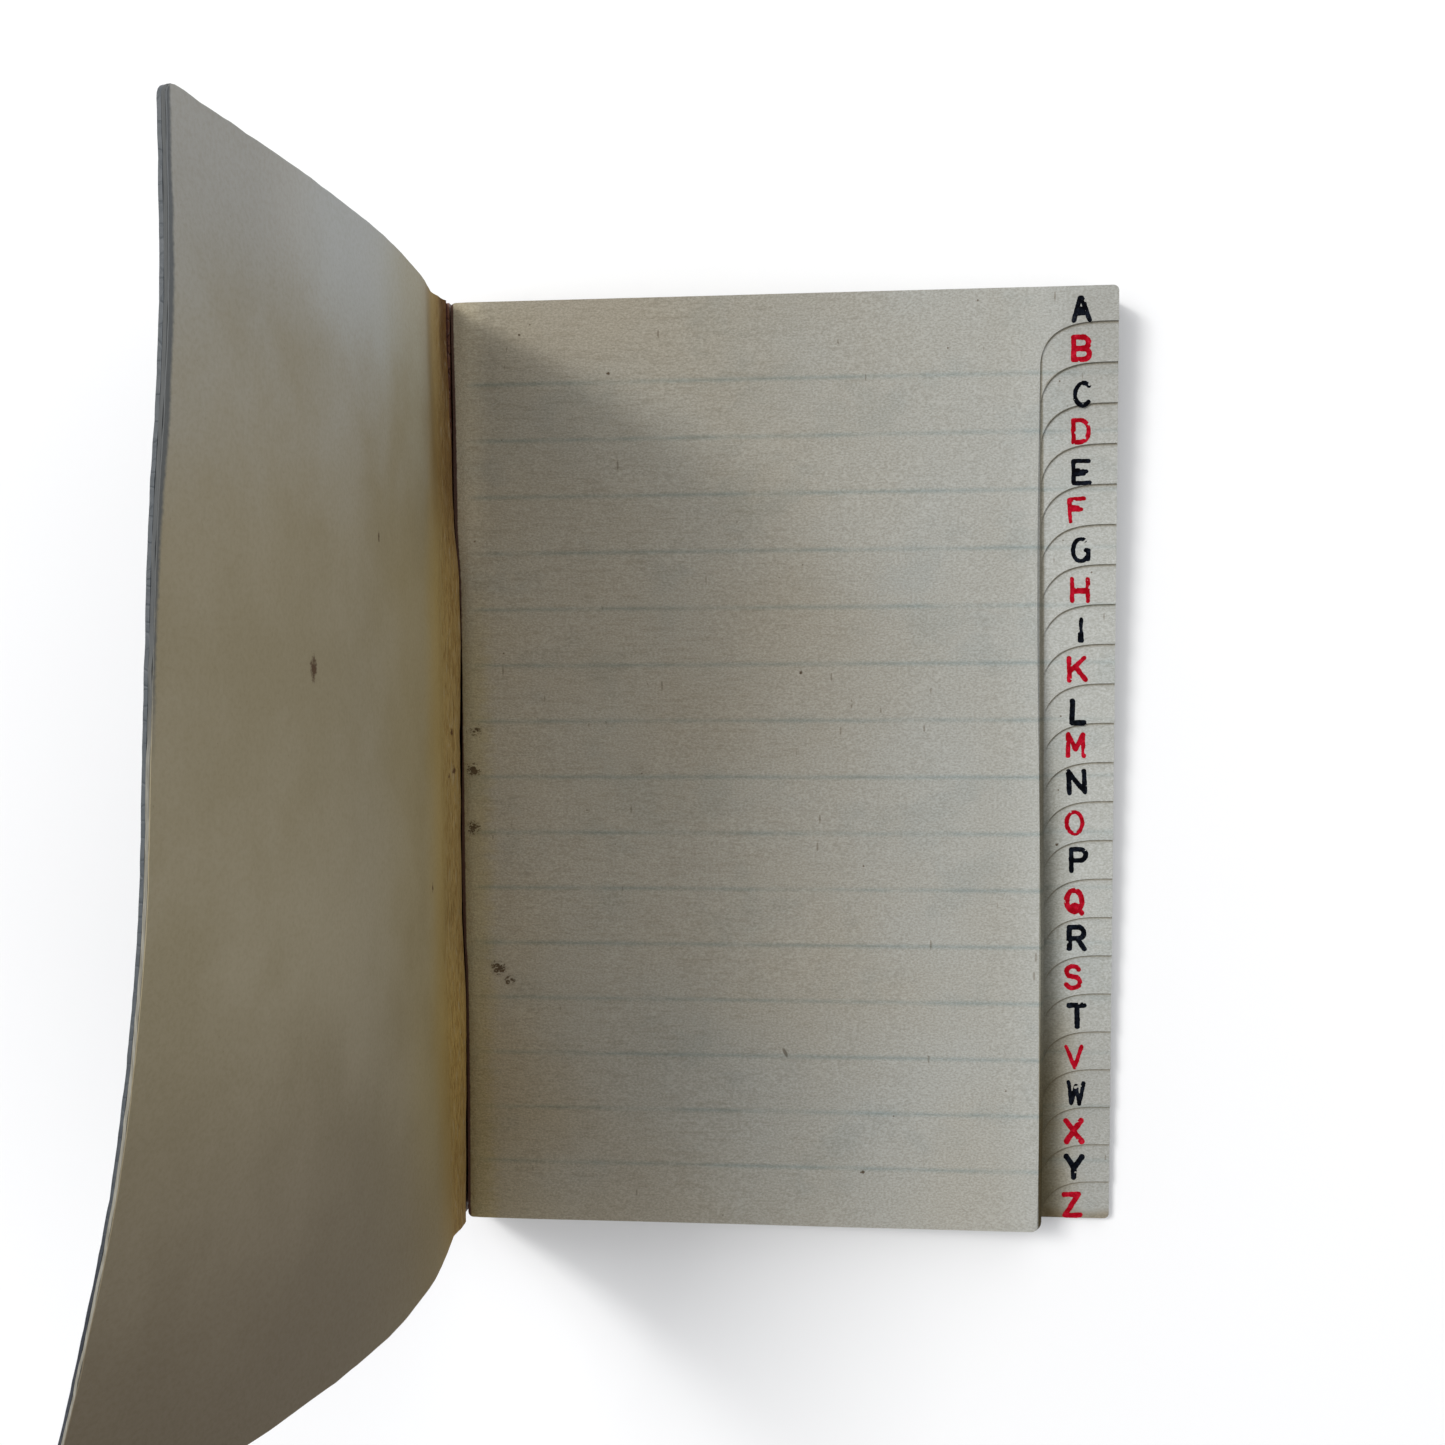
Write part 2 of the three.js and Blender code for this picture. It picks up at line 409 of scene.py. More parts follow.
def spot(finish, x, y, place_x, place_y, radius, ragged):
    """A small stain with an uneven edge, from 0 outside to 1 inside."""
    distance = ((x - place_x) ** 2 + (y - place_y) ** 2) ** 0.5
    return (distance + ragged).step(radius, radius * 0.45)


def cut_drop(reach):
    """How far an index cut has dropped, by its share of the way in from the fore edge."""
    return CUT_DROP * (1 - (1 - reach ** CUT_ROUND) ** 0.5)


def soil_and_shade_by_cuts(paper, colour, patches, grain):
    """Brown soil and painted shade along the cut of every tab and in the step beside the page."""
    x, y, z = paper.axis("X"), paper.axis("Y"), paper.axis("Z")
    deep = ((leaf_high.z / MM - z) / LEAF_PITCH).at_least(0)
    above = (deep - 1).at_least(0)
    width = TAB_WIDTH - BEVEL * (1 - math.e ** (above / -BEVEL_LEAVES))
    reach = ((FORE_X / MM - x) / width).at_least(0).at_most(0.999)
    under = 1 - ((y + cut_drop(reach) - FIRST_CUT) / TAB_PITCH).fraction()
    # A dark brown line just under the cut of each tab: painted shadow of the cut edge, with brown
    # soil.
    line = (under + (grain - 0.5) * 0.03).step(0.085, 0.025) * reach.step(0.97, 0.9)
    on_tab = x.step(CUT_X, CUT_X + 0.2) * y.step(FIRST_CUT + 0.2, FIRST_CUT)
    colour = paper.shade(line * on_tab * 0.75, colour, (0.66, 0.58, 0.46))
    # The bevel strip of each leaf in the step: painted shade from the leaves above.
    step_edge = CUT_X + BEVEL * (1 - math.e ** (deep / -BEVEL_LEAVES))
    on_step = x.step(CUT_X, CUT_X + 0.12) * (x - step_edge).step(0.2, 0.0) * deep.step(0.3, 0.8)
    colour = paper.shade(on_step, colour, (0.66, 0.61, 0.52))
    # Beside the page on the lower tabs: painted shadow of the stack of leaves, with soil.
    in_step = (x + (patches - 0.5) * 3).step(33.2, 29.3) * x.step(CUT_X, CUT_X + 0.12)
    colour = paper.shade(in_step * y.step(14, -14), colour, (0.53, 0.515, 0.455))
    # Browner still towards the tail: brown soil with painted shade.
    brown = (x + (patches - 0.5) * 5).step(35, 29) * x.step(CUT_X, CUT_X + 0.12)
    colour = paper.shade(brown * y.step(-20, -42), colour, (0.72, 0.62, 0.44))
    thumbed = (y + (patches - 0.5) * 3 + (grain - 0.5)).step(-51, -52.3) * x.step(CUT_X, CUT_X + 2)
    return paper.shade(thumbed * 0.7, colour, (0.62, 0.5, 0.34))


def paper_finish():
    paper = Finish("laid_paper")
    x, y = paper.axis("X"), paper.axis("Y")

    clouds = paper.noise(0.035, detail=4, stretch=(1, 1, 9))
    patches = paper.noise(0.11, detail=4, rough=0.6, stretch=(0.8, 1, 9))
    fibre = paper.noise(1.3, detail=5, rough=0.65, stretch=(0.4, 1, 7))
    grain = paper.noise(5.4, detail=3, rough=0.6, stretch=(0.66, 1, 6))
    laid = paper.noise(2.1, detail=3, rough=0.6, stretch=(0.16, 1, 7))

    colour = paper.mix(clouds.step(0.35, 0.65), (0.415, 0.405, 0.362), (0.428, 0.43, 0.40))
    colour = paper.mix(x.step(23, 31), colour, (0.495, 0.503, 0.475))
    tab_ends = abs(y - 4).step(20, 44) * x.step(25, 34)
    colour = paper.shade(tab_ends, colour, (0.81, 0.80, 0.79))
    colour = paper.shade(grain.step(0.28, 0.7), colour, (0.72, 0.71, 0.68))
    colour = paper.shade(laid.step(0.5, 0.7) * x.step(22, -10), colour, (0.9, 0.89, 0.87))
    colour = paper.shade(patches.step(0.52, 0.66) * 0.5, colour, (0.86, 0.9, 0.92))
    # Warm toning on the left of the page, partly painted shade and painted warm bounce light from
    # the standing cover.
    toned_and_shaded = (x + (clouds - 0.5) * 24).step(24, -22)
    colour = paper.shade(toned_and_shaded, colour, (0.975, 0.895, 0.79))
    near_root = (x + (patches - 0.5) * 16).step(-24, -37)
    colour = paper.shade(near_root * 0.6, colour, (1.0, 0.97, 0.88))
    at_root = (x + (fibre - 0.5) * 2).step(-35.2, -37.2)
    colour = paper.shade(at_root * (0.7 - 0.5 * y.step(20, 36)), colour, (0.66, 0.53, 0.34))
    yellowed = (x + (fibre - 0.5) * 3).step(-32.3, -35.0) * y.step(26, 8)
    colour = paper.shade(yellowed, colour, (0.97, 0.92, 0.72))
    # Painted light on the root of the page at the head, where the fold's shade falls too dark.
    colour = paper.shade(x.step(-32.5, -36) * y.step(18, 30), colour, (1.3, 1.28, 1.22))
    # Painted shade towards the head and the tail of the page, left of the tabs.
    ends = (abs(y - 3) + (clouds - 0.5) * 20).step(16, 44) * x.step(24, -6)
    colour = paper.shade(ends, colour, (0.87, 0.885, 0.9))
    # Browner and darker at the lower left: brown toning with painted shade towards the tail.
    browned_and_shaded = (x + (clouds - 0.5) * 20).step(-18, -36) * y.step(-8, -46)
    colour = paper.shade(browned_and_shaded, colour, (0.95, 0.87, 0.72))
    # A near-black line along the root of the page: painted shade of the gutter, with the maroon of
    # glue.
    root = x - 0.17 - 0.18 * y.step(-19, -25) + 0.12 * y.step(-36, -52)
    root = root + 0.3 * y.step(20, 28) + 0.15 * y.step(34, 52) + (fibre - 0.5) * 0.16
    colour = paper.mix(root.step(-36.62, -36.78) * 0.92, colour, (0.05, 0.015, 0.010))
    colour = soil_and_shade_by_cuts(paper, colour, patches, grain)

    line = (y - FIRST_RULE).to_and_fro(RULE_PITCH / 2)
    skips = paper.noise(0.5, detail=4, rough=0.7, stretch=(0.25, 1, 7))
    on_page = y.step(45, 44) * y.step(-48.5, -47.5)
    on_page = on_page * x.step(-36.3, -34) * (1 - 0.5 * x.step(28, 31))
    halo = (line + (fibre - 0.5) * 0.3).step(0.46, 0.04) * on_page
    ruled = (line + (grain - 0.5) * 0.25).step(0.14, 0.03) * skips.step(0.4, 0.62) * on_page
    colour = paper.shade(halo * (0.35 + 0.55 * skips.step(0.3, 0.6)), colour, (0.8, 0.875, 0.9))
    colour = paper.shade(ruled * 0.3, colour, (0.66, 0.72, 0.76))

    cell_colour = paper.cells(0.32, output="Color", stretch=(1, 1, 6))
    pick = paper.node("ShaderNodeSeparateColor", inputs={0: cell_colour})
    dots = paper.cells(0.32, stretch=(1, 1, 6)).step(0.045, 0.02) * pick.step(0.72, 0.74)
    colour = paper.shade(dots * 0.85, colour, (0.3, 0.22, 0.16))
    hairs = paper.cells(0.3, stretch=(2.4, 0.5, 6)).step(0.1, 0.06) * pick.step(0.3, 0.28)
    colour = paper.shade(hairs * 0.55, colour, (0.4, 0.33, 0.26))
    motes = paper.cells(1.1, stretch=(0.55, 1, 6)).step(0.09, 0.03)
    colour = paper.shade(motes * 0.35, colour, (0.62, 0.56, 0.48))

    slant_y = (y - FLECK_Y) * 0.6
    slant_x = (x - FLECK_X) * 1.5 + slant_y
    rust = spot(paper, slant_x, slant_y, 0, 0, 0.42, (grain - 0.5) * 0.3) * 0.7
    crumbs = paper.cells(2.6, stretch=(0.7, 1, 6)).step(0.74, 0.5)
    for place_x, place_y, radius in RUST_SPOTS:
        loose = spot(paper, x, y, place_x, place_y, radius, (grain - 0.5) * radius * 2.6)
        rust = rust.at_least(loose * crumbs if radius > 0.4 else loose)
    colour = paper.shade(rust * 0.95, colour, (0.2, 0.14, 0.09))

    normal = paper.bump(grain + laid * x.step(22, -10), 0.085)
    normal = paper.bump(patches, 0.25, under=normal)
    return paper.finish(Base_Color=colour, Roughness=0.8 + fibre * 0.15, Specular_IOR_Level=0.2,
                        Normal=normal)


paper_material = paper_finish()
print("paper made of", len(paper_material.node_tree.nodes), "nodes")

# %% [markdown]
# ## The outline of a leaf
#
# All 24 leaves were trimmed as one block, then the index was cut from the top down. Each cut starts
# at the lower corner of its tab, sweeps inwards and runs down along the fore edge, so that every
# leaf keeps one tab and shows all the tabs below it. The sweep is a quarter of a superellipse,
# which the shader above can work out too. The knife leaned, so each leaf comes out a little
# further than the one above it, and the step shows as a band beside the page, brown with painted
# shade. A boolean cut could do the same, but an outline gives clean edges from the start.

# %% Draw the outline of a leaf
LEAF_CORNER = 0.6
LEFT, RIGHT, HEAD = ROOT_X / MM, FORE_X / MM, HALF_HEIGHT / MM


def tab_foot(index):
    return HEAD - FIRST_TAB_HEIGHT - index * TAB_PITCH


def round_corner(x, y, radius, quarter, steps=5):
    turns = [(quarter + i / steps) * math.pi / 2 for i in range(steps + 1)]
    return [(x + radius * math.cos(turn), y + radius * math.sin(turn)) for turn in turns]


def cut_width(index):
    return TAB_WIDTH - BEVEL * (1 - math.exp(-index / BEVEL_LEAVES))


def index_cut(index, steps=30):
    """The sweep of one cut, from the body of the leaf out to the tab's lower corner."""
    turns = [(1 - i / steps) * math.pi / 2 for i in range(steps + 1)]
    points = [(RIGHT - cut_width(index) * math.sin(turn) ** (2 / CUT_ROUND),
               tab_foot(index) - CUT_DROP * (1 - math.cos(turn))) for turn in turns]
    return [point for point in points if point[1] > LEAF_CORNER - HEAD]


def leaf_outline(index):
    last = index == len(LETTERS) - 1
    foot_right = RIGHT if last else RIGHT - cut_width(index)
    near, far = LEAF_CORNER - HEAD, HEAD - LEAF_CORNER
    outline = round_corner(LEFT + LEAF_CORNER, near, LEAF_CORNER, 2)
    outline += round_corner(foot_right - LEAF_CORNER, near, LEAF_CORNER, 3)
    if not last:
        outline += index_cut(index)
    outline += round_corner(RIGHT - LEAF_CORNER, far, LEAF_CORNER, 0)
    outline += round_corner(LEFT + LEAF_CORNER, far, LEAF_CORNER, 1)
    return outline


print("a tab every", round(TAB_PITCH, 3), "mm; the last one ends at", round(tab_foot(23), 2))

# %% [markdown]
# ## The swell of the paper
#
# Old paper never lies quite flat. The block swells a little towards its top, and by the gutter the
# glue pulls the leaves down, so the page rounds over into the fold. Every leaf gets the same swell,
# scaled by its height in the block: neighbours then keep their distance, and nothing cuts through.

# %% Fill an outline with a fine swelling sheet
BLOCK_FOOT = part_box("leaf_Z")[0].z / MM
BLOCK_TOP = leaf_high.z / MM
ROOT_SHIFTS = ((-52.5, 0.2), (-33, 0.35), (-24, 0.35), (-20, 0.2), (22, 0.15), (26, -0.1),
               (41, -0.2), (52.5, -0.3))
LIP_WIDTH, LIP_HEIGHT = 0.3, 0.09
KNIFE_SWAY, KNIFE_WAVE = 0.23, 88
ROOT_COLUMNS = (0.35, 0.8, 1.3)
FINE_GRID, COARSE_GRID = 1.2, 2.4
FAR = 9.0


def level_in_block(height):
    return (height - BLOCK_FOOT) / (BLOCK_TOP - BLOCK_FOOT)


def swell(x, y, height):
    """How far the paper stands over its flat place, in mm, at a height in mm over the table."""
    waves = 0.13 * rough(x, y, 34, 46, 2.7) + 0.05 * rough(x, y, 13, 30, 7.1)
    sunk = 0.16 * (1 - ease(x, LEFT, LEFT + 2.0)) ** 1.5
    return level_in_block(height) * (waves * ease(x, LEFT, LEFT + 8) - sunk)


def cut_line(index):
    """Points along the whole cut of a leaf, from the foot of the page to the fore edge."""
    side = RIGHT - cut_width(index)
    wall = [(side, y) for y in np.arange(LEAF_CORNER - HEAD, tab_foot(index) - CUT_DROP, 0.8)]
    return np.array((wall if index == 0 else []) + index_cut(index))


def lip(x, y, index):
    """How far the knife has pushed the cut edge up, in mm."""
    if index == len(LETTERS) - 1:
        return np.zeros(len(x))
    line = cut_line(index)
    start, way = line[:-1], line[1:] - line[:-1]
    away = np.full(len(x), FAR)
    near = np.flatnonzero((x > RIGHT - TAB_WIDTH - 1) & (y < tab_foot(index) + 1))
    for i in near:
        gap = np.array([x[i], y[i]]) - start
        share = np.clip((gap * way).sum(axis=1) / (way ** 2).sum(axis=1), 0, 1)
        away[i] = np.linalg.norm(gap - share[:, None] * way, axis=1).min()
    free = 1 if index == 0 else ease(x, RIGHT - cut_width(index), RIGHT - cut_width(index) + 0.3)
    return LIP_HEIGHT * np.clip(1 - away / LIP_WIDTH, 0, 1) * free


def fill_outline(outline, spacing, inner):
    """Points and triangles that cover an outline, with more points along it and a grid inside."""
    edge = []
    for i, (x, y) in enumerate(outline):
        next_x, next_y = outline[(i + 1) % len(outline)]
        length = math.hypot(next_x - x, next_y - y)
        if length < 1e-5:
            continue
        parts = max(1, round(length / spacing))
        edge += [(x + (next_x - x) * j / parts, y + (next_y - y) * j / parts) for j in range(parts)]
    columns = np.arange(LEFT + spacing * 0.6, RIGHT, spacing)
    columns = columns[columns > LEFT + ROOT_COLUMNS[-1] + 0.5]
    columns = np.concatenate([LEFT + np.array(ROOT_COLUMNS), columns])
    rows = np.arange(-HEAD + spacing * 0.6, HEAD, spacing)
    grid = np.array([(x, y) for y in rows for x in columns])
    ring = np.array(edge + inner)
    least_gap = 0.3 if spacing < 1.5 else 0.34
    clear = np.ones(len(grid), bool)
    for start in range(0, len(grid), 500):
        part = grid[start:start + 500]
        gaps = np.linalg.norm(part[:, None] - ring[None], axis=2).min(axis=1)
        clear[start:start + 500] = gaps > least_gap
    points = [Vector(p) for p in edge + inner + list(grid[clear])]
    found = delaunay_2d_cdt(points, [], [list(range(len(edge)))], 1, 1e-6)
    return np.array([tuple(p) for p in found[0]]), found[2]


def inside_cut(index):
    """A row of points just inside the cut, where the lip begins."""
    if index == len(LETTERS) - 1:
        return []
    line = cut_line(index)
    middle, way = (line[:-1] + line[1:]) / 2, line[1:] - line[:-1]
    across = np.column_stack([-way[:, 1], way[:, 0]]) / np.linalg.norm(way, axis=1)[:, None]
    row = middle + across * LIP_WIDTH
    return [tuple(p) for p in row[1:-1] if p[1] > LEAF_CORNER - HEAD + 0.4 and p[0] < RIGHT - 0.3]


def make_leaf(index):
    letter = LETTERS[index]
    low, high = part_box("leaf_" + letter)
    spacing = FINE_GRID if index == 0 else COARSE_GRID
    flat, faces = fill_outline(leaf_outline(index), spacing, inside_cut(index))
    x, y = flat[:, 0], flat[:, 1]
    raised = lip(x, y, index)
    by_cut = 1 - ease(np.abs(x - RIGHT + TAB_WIDTH), 0, 2)
    x = x - KNIFE_SWAY * by_cut * np.sin((y + 2) * 2 * math.pi / KNIFE_WAVE)
    by_root = 1 - ease(x, LEFT, LEFT + 2.5)
    x = x + level_in_block(high.z / MM) * by_root * flowing(y, ROOT_SHIFTS)
    stand = swell(x, y, high.z / MM) + raised
    front = np.column_stack([x, y, high.z / MM + stand])
    back = np.column_stack([x, y, low.z / MM + stand])
    points, whole = closed_sheet(front, back, faces)
    leaf = make_piece("page_" + letter, points, whole, paper_material,
                      "leaf_" + letter)
    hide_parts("leaf_" + letter)
    return leaf


leaves = [make_leaf(index) for index in range(len(LETTERS))]
print(len(leaves), "leaves with", sum(len(leaf.data.polygons) for leaf in leaves), "faces")

# %% [markdown]
# ## The letters of the index
#
# The letters were stamped by hand with a small rubber set, black and red in turn. Each is a few
# straight strokes and arcs, drawn here as centre lines in a box one unit wide and high. A font
# would be quicker, but a stamp prints soft corners, blots and gaps. Those come easily from a
# distance: ink lies wherever a point is nearer to a stroke than a limit that wavers with noise.

# %% Draw the strokes of the letters
def arc(x, y, width, height, start, end):
    """Points along part of an ellipse, between two angles in degrees."""
    steps = max(4, abs(end - start) // 15)
    turns = [math.radians(start + (end - start) * i / steps) for i in range(steps + 1)]
    return [(x + width * math.cos(turn), y + height * math.sin(turn)) for turn in turns]


LOOP = arc(0.5, 0.5, 0.5, 0.5, 0, 360)
HIGH_BOWL = [(0, 1)] + arc(0.58, 0.74, 0.36, 0.26, 90, -90) + [(0, 0.48)]
STROKES = {
    "A": [[(0, 0), (0.45, 1), (0.55, 1), (1, 0)], [(0.2, 0.32), (0.82, 0.32)],
          [(0.38, 0.5), (0.62, 0.5)]],
    "B": [[(0, 0), (0, 1)], HIGH_BOWL, [(0, 0.5)] + arc(0.6, 0.25, 0.38, 0.25, 90, -90) + [(0, 0)]],
    "C": [arc(0.52, 0.5, 0.5, 0.5, 52, 318)],
    "D": [[(0, 0), (0, 1)] + arc(0.42, 0.5, 0.55, 0.5, 90, -90) + [(0, 0)]],
    "E": [[(0.95, 1), (0, 1), (0, 0), (1, 0)], [(0, 0.5), (0.82, 0.52)],
          [(0.05, 0.4), (0.66, 0.42)], [(0.1, 0.6), (0.3, 0.6)]],
    "F": [[(0, 0), (0, 1), (0.95, 1)], [(0, 0.52), (0.72, 0.52)], [(0.1, 0.66), (0.5, 0.6)]],
    "G": [arc(0.5, 0.5, 0.5, 0.5, 62, 318) + [(0.98, 0.1), (0.98, 0.46)], [(0.82, 0.5), (1, 0.5)]],
    "H": [[(0, 0), (0, 1)], [(1, 0), (1, 1)], [(0, 0.5), (1, 0.5)], [(0.1, 0.42), (0.9, 0.42)]],
    "I": [[(0.5, 0), (0.5, 1)], [(0.44, 0), (0.46, 0.5)], [(0.58, 0), (0.54, 0.4)]],
    "K": [[(0, 0), (0, 1)], [(0.95, 1), (0.05, 0.42)], [(0.36, 0.62), (1, 0)]],
    "L": [[(0.1, 1), (0.1, 0), (0.85, 0)]],
    "M": [[(0, 0), (0.03, 1), (0.5, 0.3), (0.97, 1), (1, 0)]],
    "N": [[(0, 0), (0, 1), (1, 0), (1, 1)]],
    "O": [LOOP],
    "P": [[(0, 0)] + HIGH_BOWL],
    "Q": [LOOP, arc(0.56, 0.14, 0.2, 0.17, 190, 10) + [(0.98, -0.05)]],
    "R": [[(0, 0)] + HIGH_BOWL, [(0.5, 0.48), (0.98, 0)]],
    "S": [arc(0.48, 0.75, 0.42, 0.25, 30, 230) + arc(0.5, 0.26, 0.46, 0.27, 72, -150)],
    "T": [[(0, 1), (1, 1)], [(0.5, 1), (0.5, 0)]],
    "V": [[(0, 1), (0.5, 0), (1, 1)]],
    "W": [[(0, 1), (0.24, 0), (0.5, 0.85), (0.76, 0), (1, 1)]],
    "X": [[(0, 1), (1, 0)], [(1, 1), (0, 0)]],
    "Y": [[(0, 1), (0.5, 0.45), (1, 1)], [(0.5, 0.45), (0.5, 0)]],
    "Z": [[(0, 1), (0.95, 1), (0, 0), (1, 0)]],
}
print("strokes for", len(STROKES), "letters")

# %% [markdown]
# ## Ink
#
# Stamping ink sits in the paper more than on it. It dries matt, darker where the stamp pressed and
# thin where it missed, with a little paper showing through. The black has gone blue-black with age
# and the red has a touch of crimson.

# %% Make the two inks
def ink_finish(name, full, thin, paper_share):
    ink = Finish(name)
    blot = ink.noise(1.4, detail=4, rough=0.7)
    grain = ink.noise(7.0, detail=2, rough=0.6)
    colour = ink.mix(blot.step(0.38, 0.7), full, thin)
    bare = (grain * 0.6 + blot * 0.4).step(0.55, 0.72) * paper_share
    colour = ink.mix(bare, colour, (0.3, 0.29, 0.27))
    return ink.finish(Base_Color=colour, Roughness=0.7 + blot * 0.2, Specular_IOR_Level=0.03,
                      Normal=ink.bump(grain, 0.02))


black_ink = ink_finish("stamped_black", (0.0008, 0.001, 0.002), (0.006, 0.009, 0.016), 0.10)
red_ink = ink_finish("stamped_red", (0.27, 0.001, 0.006), (0.47, 0.006, 0.025), 0.12)
print("inks:", black_ink.name, red_ink.name)

# %% [markdown]
# ## Turning strokes into a film of ink
#
# The distance to the strokes is sampled on a fine grid. Each cell of the grid keeps the part of it
# that is inside the ink, cut where the distance crosses the limit, and neighbouring cells share
# their points. The result is one clean film with a soft, uneven edge.

# %% Write the film maker
LETTER_WIDTH, LETTER_HEIGHT = 1.72, 2.42
STROKE_WIDTHS = dict(zip(LETTERS, (0.52, 0.6, 0.5, 0.49, 0.47, 0.48, 0.47, 0.48,
                                   0.42, 0.54, 0.62, 0.5, 0.53, 0.46, 0.54, 0.6,
                                   0.6, 0.55, 0.61, 0.46, 0.46, 0.64, 0.66, 0.6)))
CELL = 0.065
FILM_LEFT, FILM_RIGHT = -1.35, 1.36
FILM_FOOT, FILM_HEAD = -1.75, 1.76


def distance_to_strokes(x, y, strokes):
    nearest = np.full(x.shape, FAR)
    for stroke in strokes:
        for (ax, ay), (bx, by) in zip(stroke, stroke[1:]):
            ax, bx = (ax - 0.5) * LETTER_WIDTH, (bx - 0.5) * LETTER_WIDTH
            ay, by = (ay - 0.5) * LETTER_HEIGHT, (by - 0.5) * LETTER_HEIGHT
            length = max((bx - ax) ** 2 + (by - ay) ** 2, 1e-9)
            along = np.clip(((x - ax) * (bx - ax) + (y - ay) * (by - ay)) / length, 0, 1)
            gap = np.hypot(x - ax - along * (bx - ax), y - ay - along * (by - ay))
            nearest = np.minimum(nearest, gap)
    return nearest


def film_cells(field, xs, ys):
    """Points and faces of the part of a grid where the field is below zero."""
    points, places, faces = [], {}, []

    def place(key, x, y):
        if key not in places:
            places[key] = len(points)
            points.append((x, y))
        return places[key]

    for row in range(len(ys) - 1):
        for column in range(len(xs) - 1):
            ring = [(row, column), (row, column + 1), (row + 1, column + 1), (row + 1, column)]
            values = [field[corner] for corner in ring]
            if min(values) >= 0:
                continue
            face = []
            for i in range(4):
                here, there = ring[i], ring[(i + 1) % 4]
                a, b = values[i], values[(i + 1) % 4]
                if a < 0:
                    face.append(place(here, xs[here[1]], ys[here[0]]))
                if (a < 0) != (b < 0):
                    share = min(max(a / (a - b), 0.08), 0.92)
                    x = xs[here[1]] + share * (xs[there[1]] - xs[here[1]])
                    y = ys[here[0]] + share * (ys[there[0]] - ys[here[0]])
                    share_key = (min(here, there), max(here, there))
                    face.append(place(share_key, x, y))
            faces.append(face)
    return np.array(points), faces


def letter_film(letter, seed):
    xs = np.arange(FILM_LEFT, FILM_RIGHT, CELL)
    ys = np.arange(FILM_FOOT, FILM_HEAD, CELL)
    x, y = np.meshgrid(xs, ys)
    wavering = 0.07 * rough(x, y, 0.7, 0.7, seed) + 0.035 * rough(x, y, 0.2, 0.2, seed + 9)
    limit = STROKE_WIDTHS[letter] / 2 + wavering
    missed = 0.3 * ease(rough(x, y, 0.42, 0.42, seed + 4.5), 0.5, 0.66)
    field = distance_to_strokes(x, y, STROKES[letter]) - limit + missed
    return film_cells(field, xs, ys)


print("each film is cut from a grid of", CELL, "mm cells")

# %% [markdown]
# ## Stamping the letters
#
# The hand that stamped them was not a machine: each letter stands a little off the line and a
# little turned, and the ones half way down sit higher on their tabs. The offsets below are how far
# each letter's middle is from the fore edge and over the foot of its tab, in millimetres.

# %% Stamp one letter on every tab
FORE_OFFSETS = (4.05, 3.97, 3.81, 3.93, 3.88, 4.23, 3.86, 3.92, 3.77, 4.13, 3.95, 4.23,
                4.09, 4.29, 3.74, 4.23, 3.88, 4.29, 3.82, 4.07, 3.87, 4.05, 3.99, 4.16)
RISES = (1.31, 1.49, 0.96, 1.36, 1.31, 1.57, 1.58, 1.57, 1.55, 1.61, 1.21, 1.89,
         2.13, 1.88, 2.07, 1.77, 1.93, 1.82, 1.71, 1.32, 1.51, 1.44, 1.58, 1.50)
TURNS = (2, 0, -4, 1, 1, 3, -2, 0, -1, 2, -1, 0, 3, 0, 1, 0, 0, -2, 1, 2, -2, 2, -1, 3)
INK_STANDS = 0.016
INK_SINKS = 0.012


def stamp(index):
    letter = LETTERS[index]
    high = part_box("leaf_" + letter)[1].z / MM
    flat, faces = letter_film(letter, 3.3 * index)
    turn = math.radians(TURNS[index])
    x = RIGHT - FORE_OFFSETS[index] + flat[:, 0] * math.cos(turn) - flat[:, 1] * math.sin(turn)
    y = tab_foot(index) + RISES[index] + flat[:, 0] * math.sin(turn) + flat[:, 1] * math.cos(turn)
    z = high + swell(x, y, high) + lip(x, y, index)
    front, back = np.column_stack([x, y, z + INK_STANDS]), np.column_stack([x, y, z - INK_SINKS])
    points, whole = closed_sheet(front, back, faces)
    black = index % 2 == 0
    return make_piece("letter_" + letter, points, whole, black_ink if black else red_ink,
                      "leaf_" + letter)


letters = [stamp(index) for index in range(len(LETTERS))]
print(len(letters), "letters with", sum(len(piece.data.polygons) for piece in letters), "faces")

# %% [markdown]
# ## The leather
#
# The outside is a thin leather, dyed a blue so dark that it looks black. It has a pebbled grain.
# Where hands and shelves rubbed it, along the edges and on the high spots, the dye has gone grey.
# Grain is cells with soft valleys between them, which a Voronoi pattern gives directly; wear is the
# same pattern, read as height. Inside the spine its raw flesh side shows, a dull maroon. What lies
# along the folds is found by its distance from the fold.

# %% Make the leather
SPINE_FACE = FRONT_FOLD.x / MM
BOOK_TOP = FRONT_FOLD.z / MM


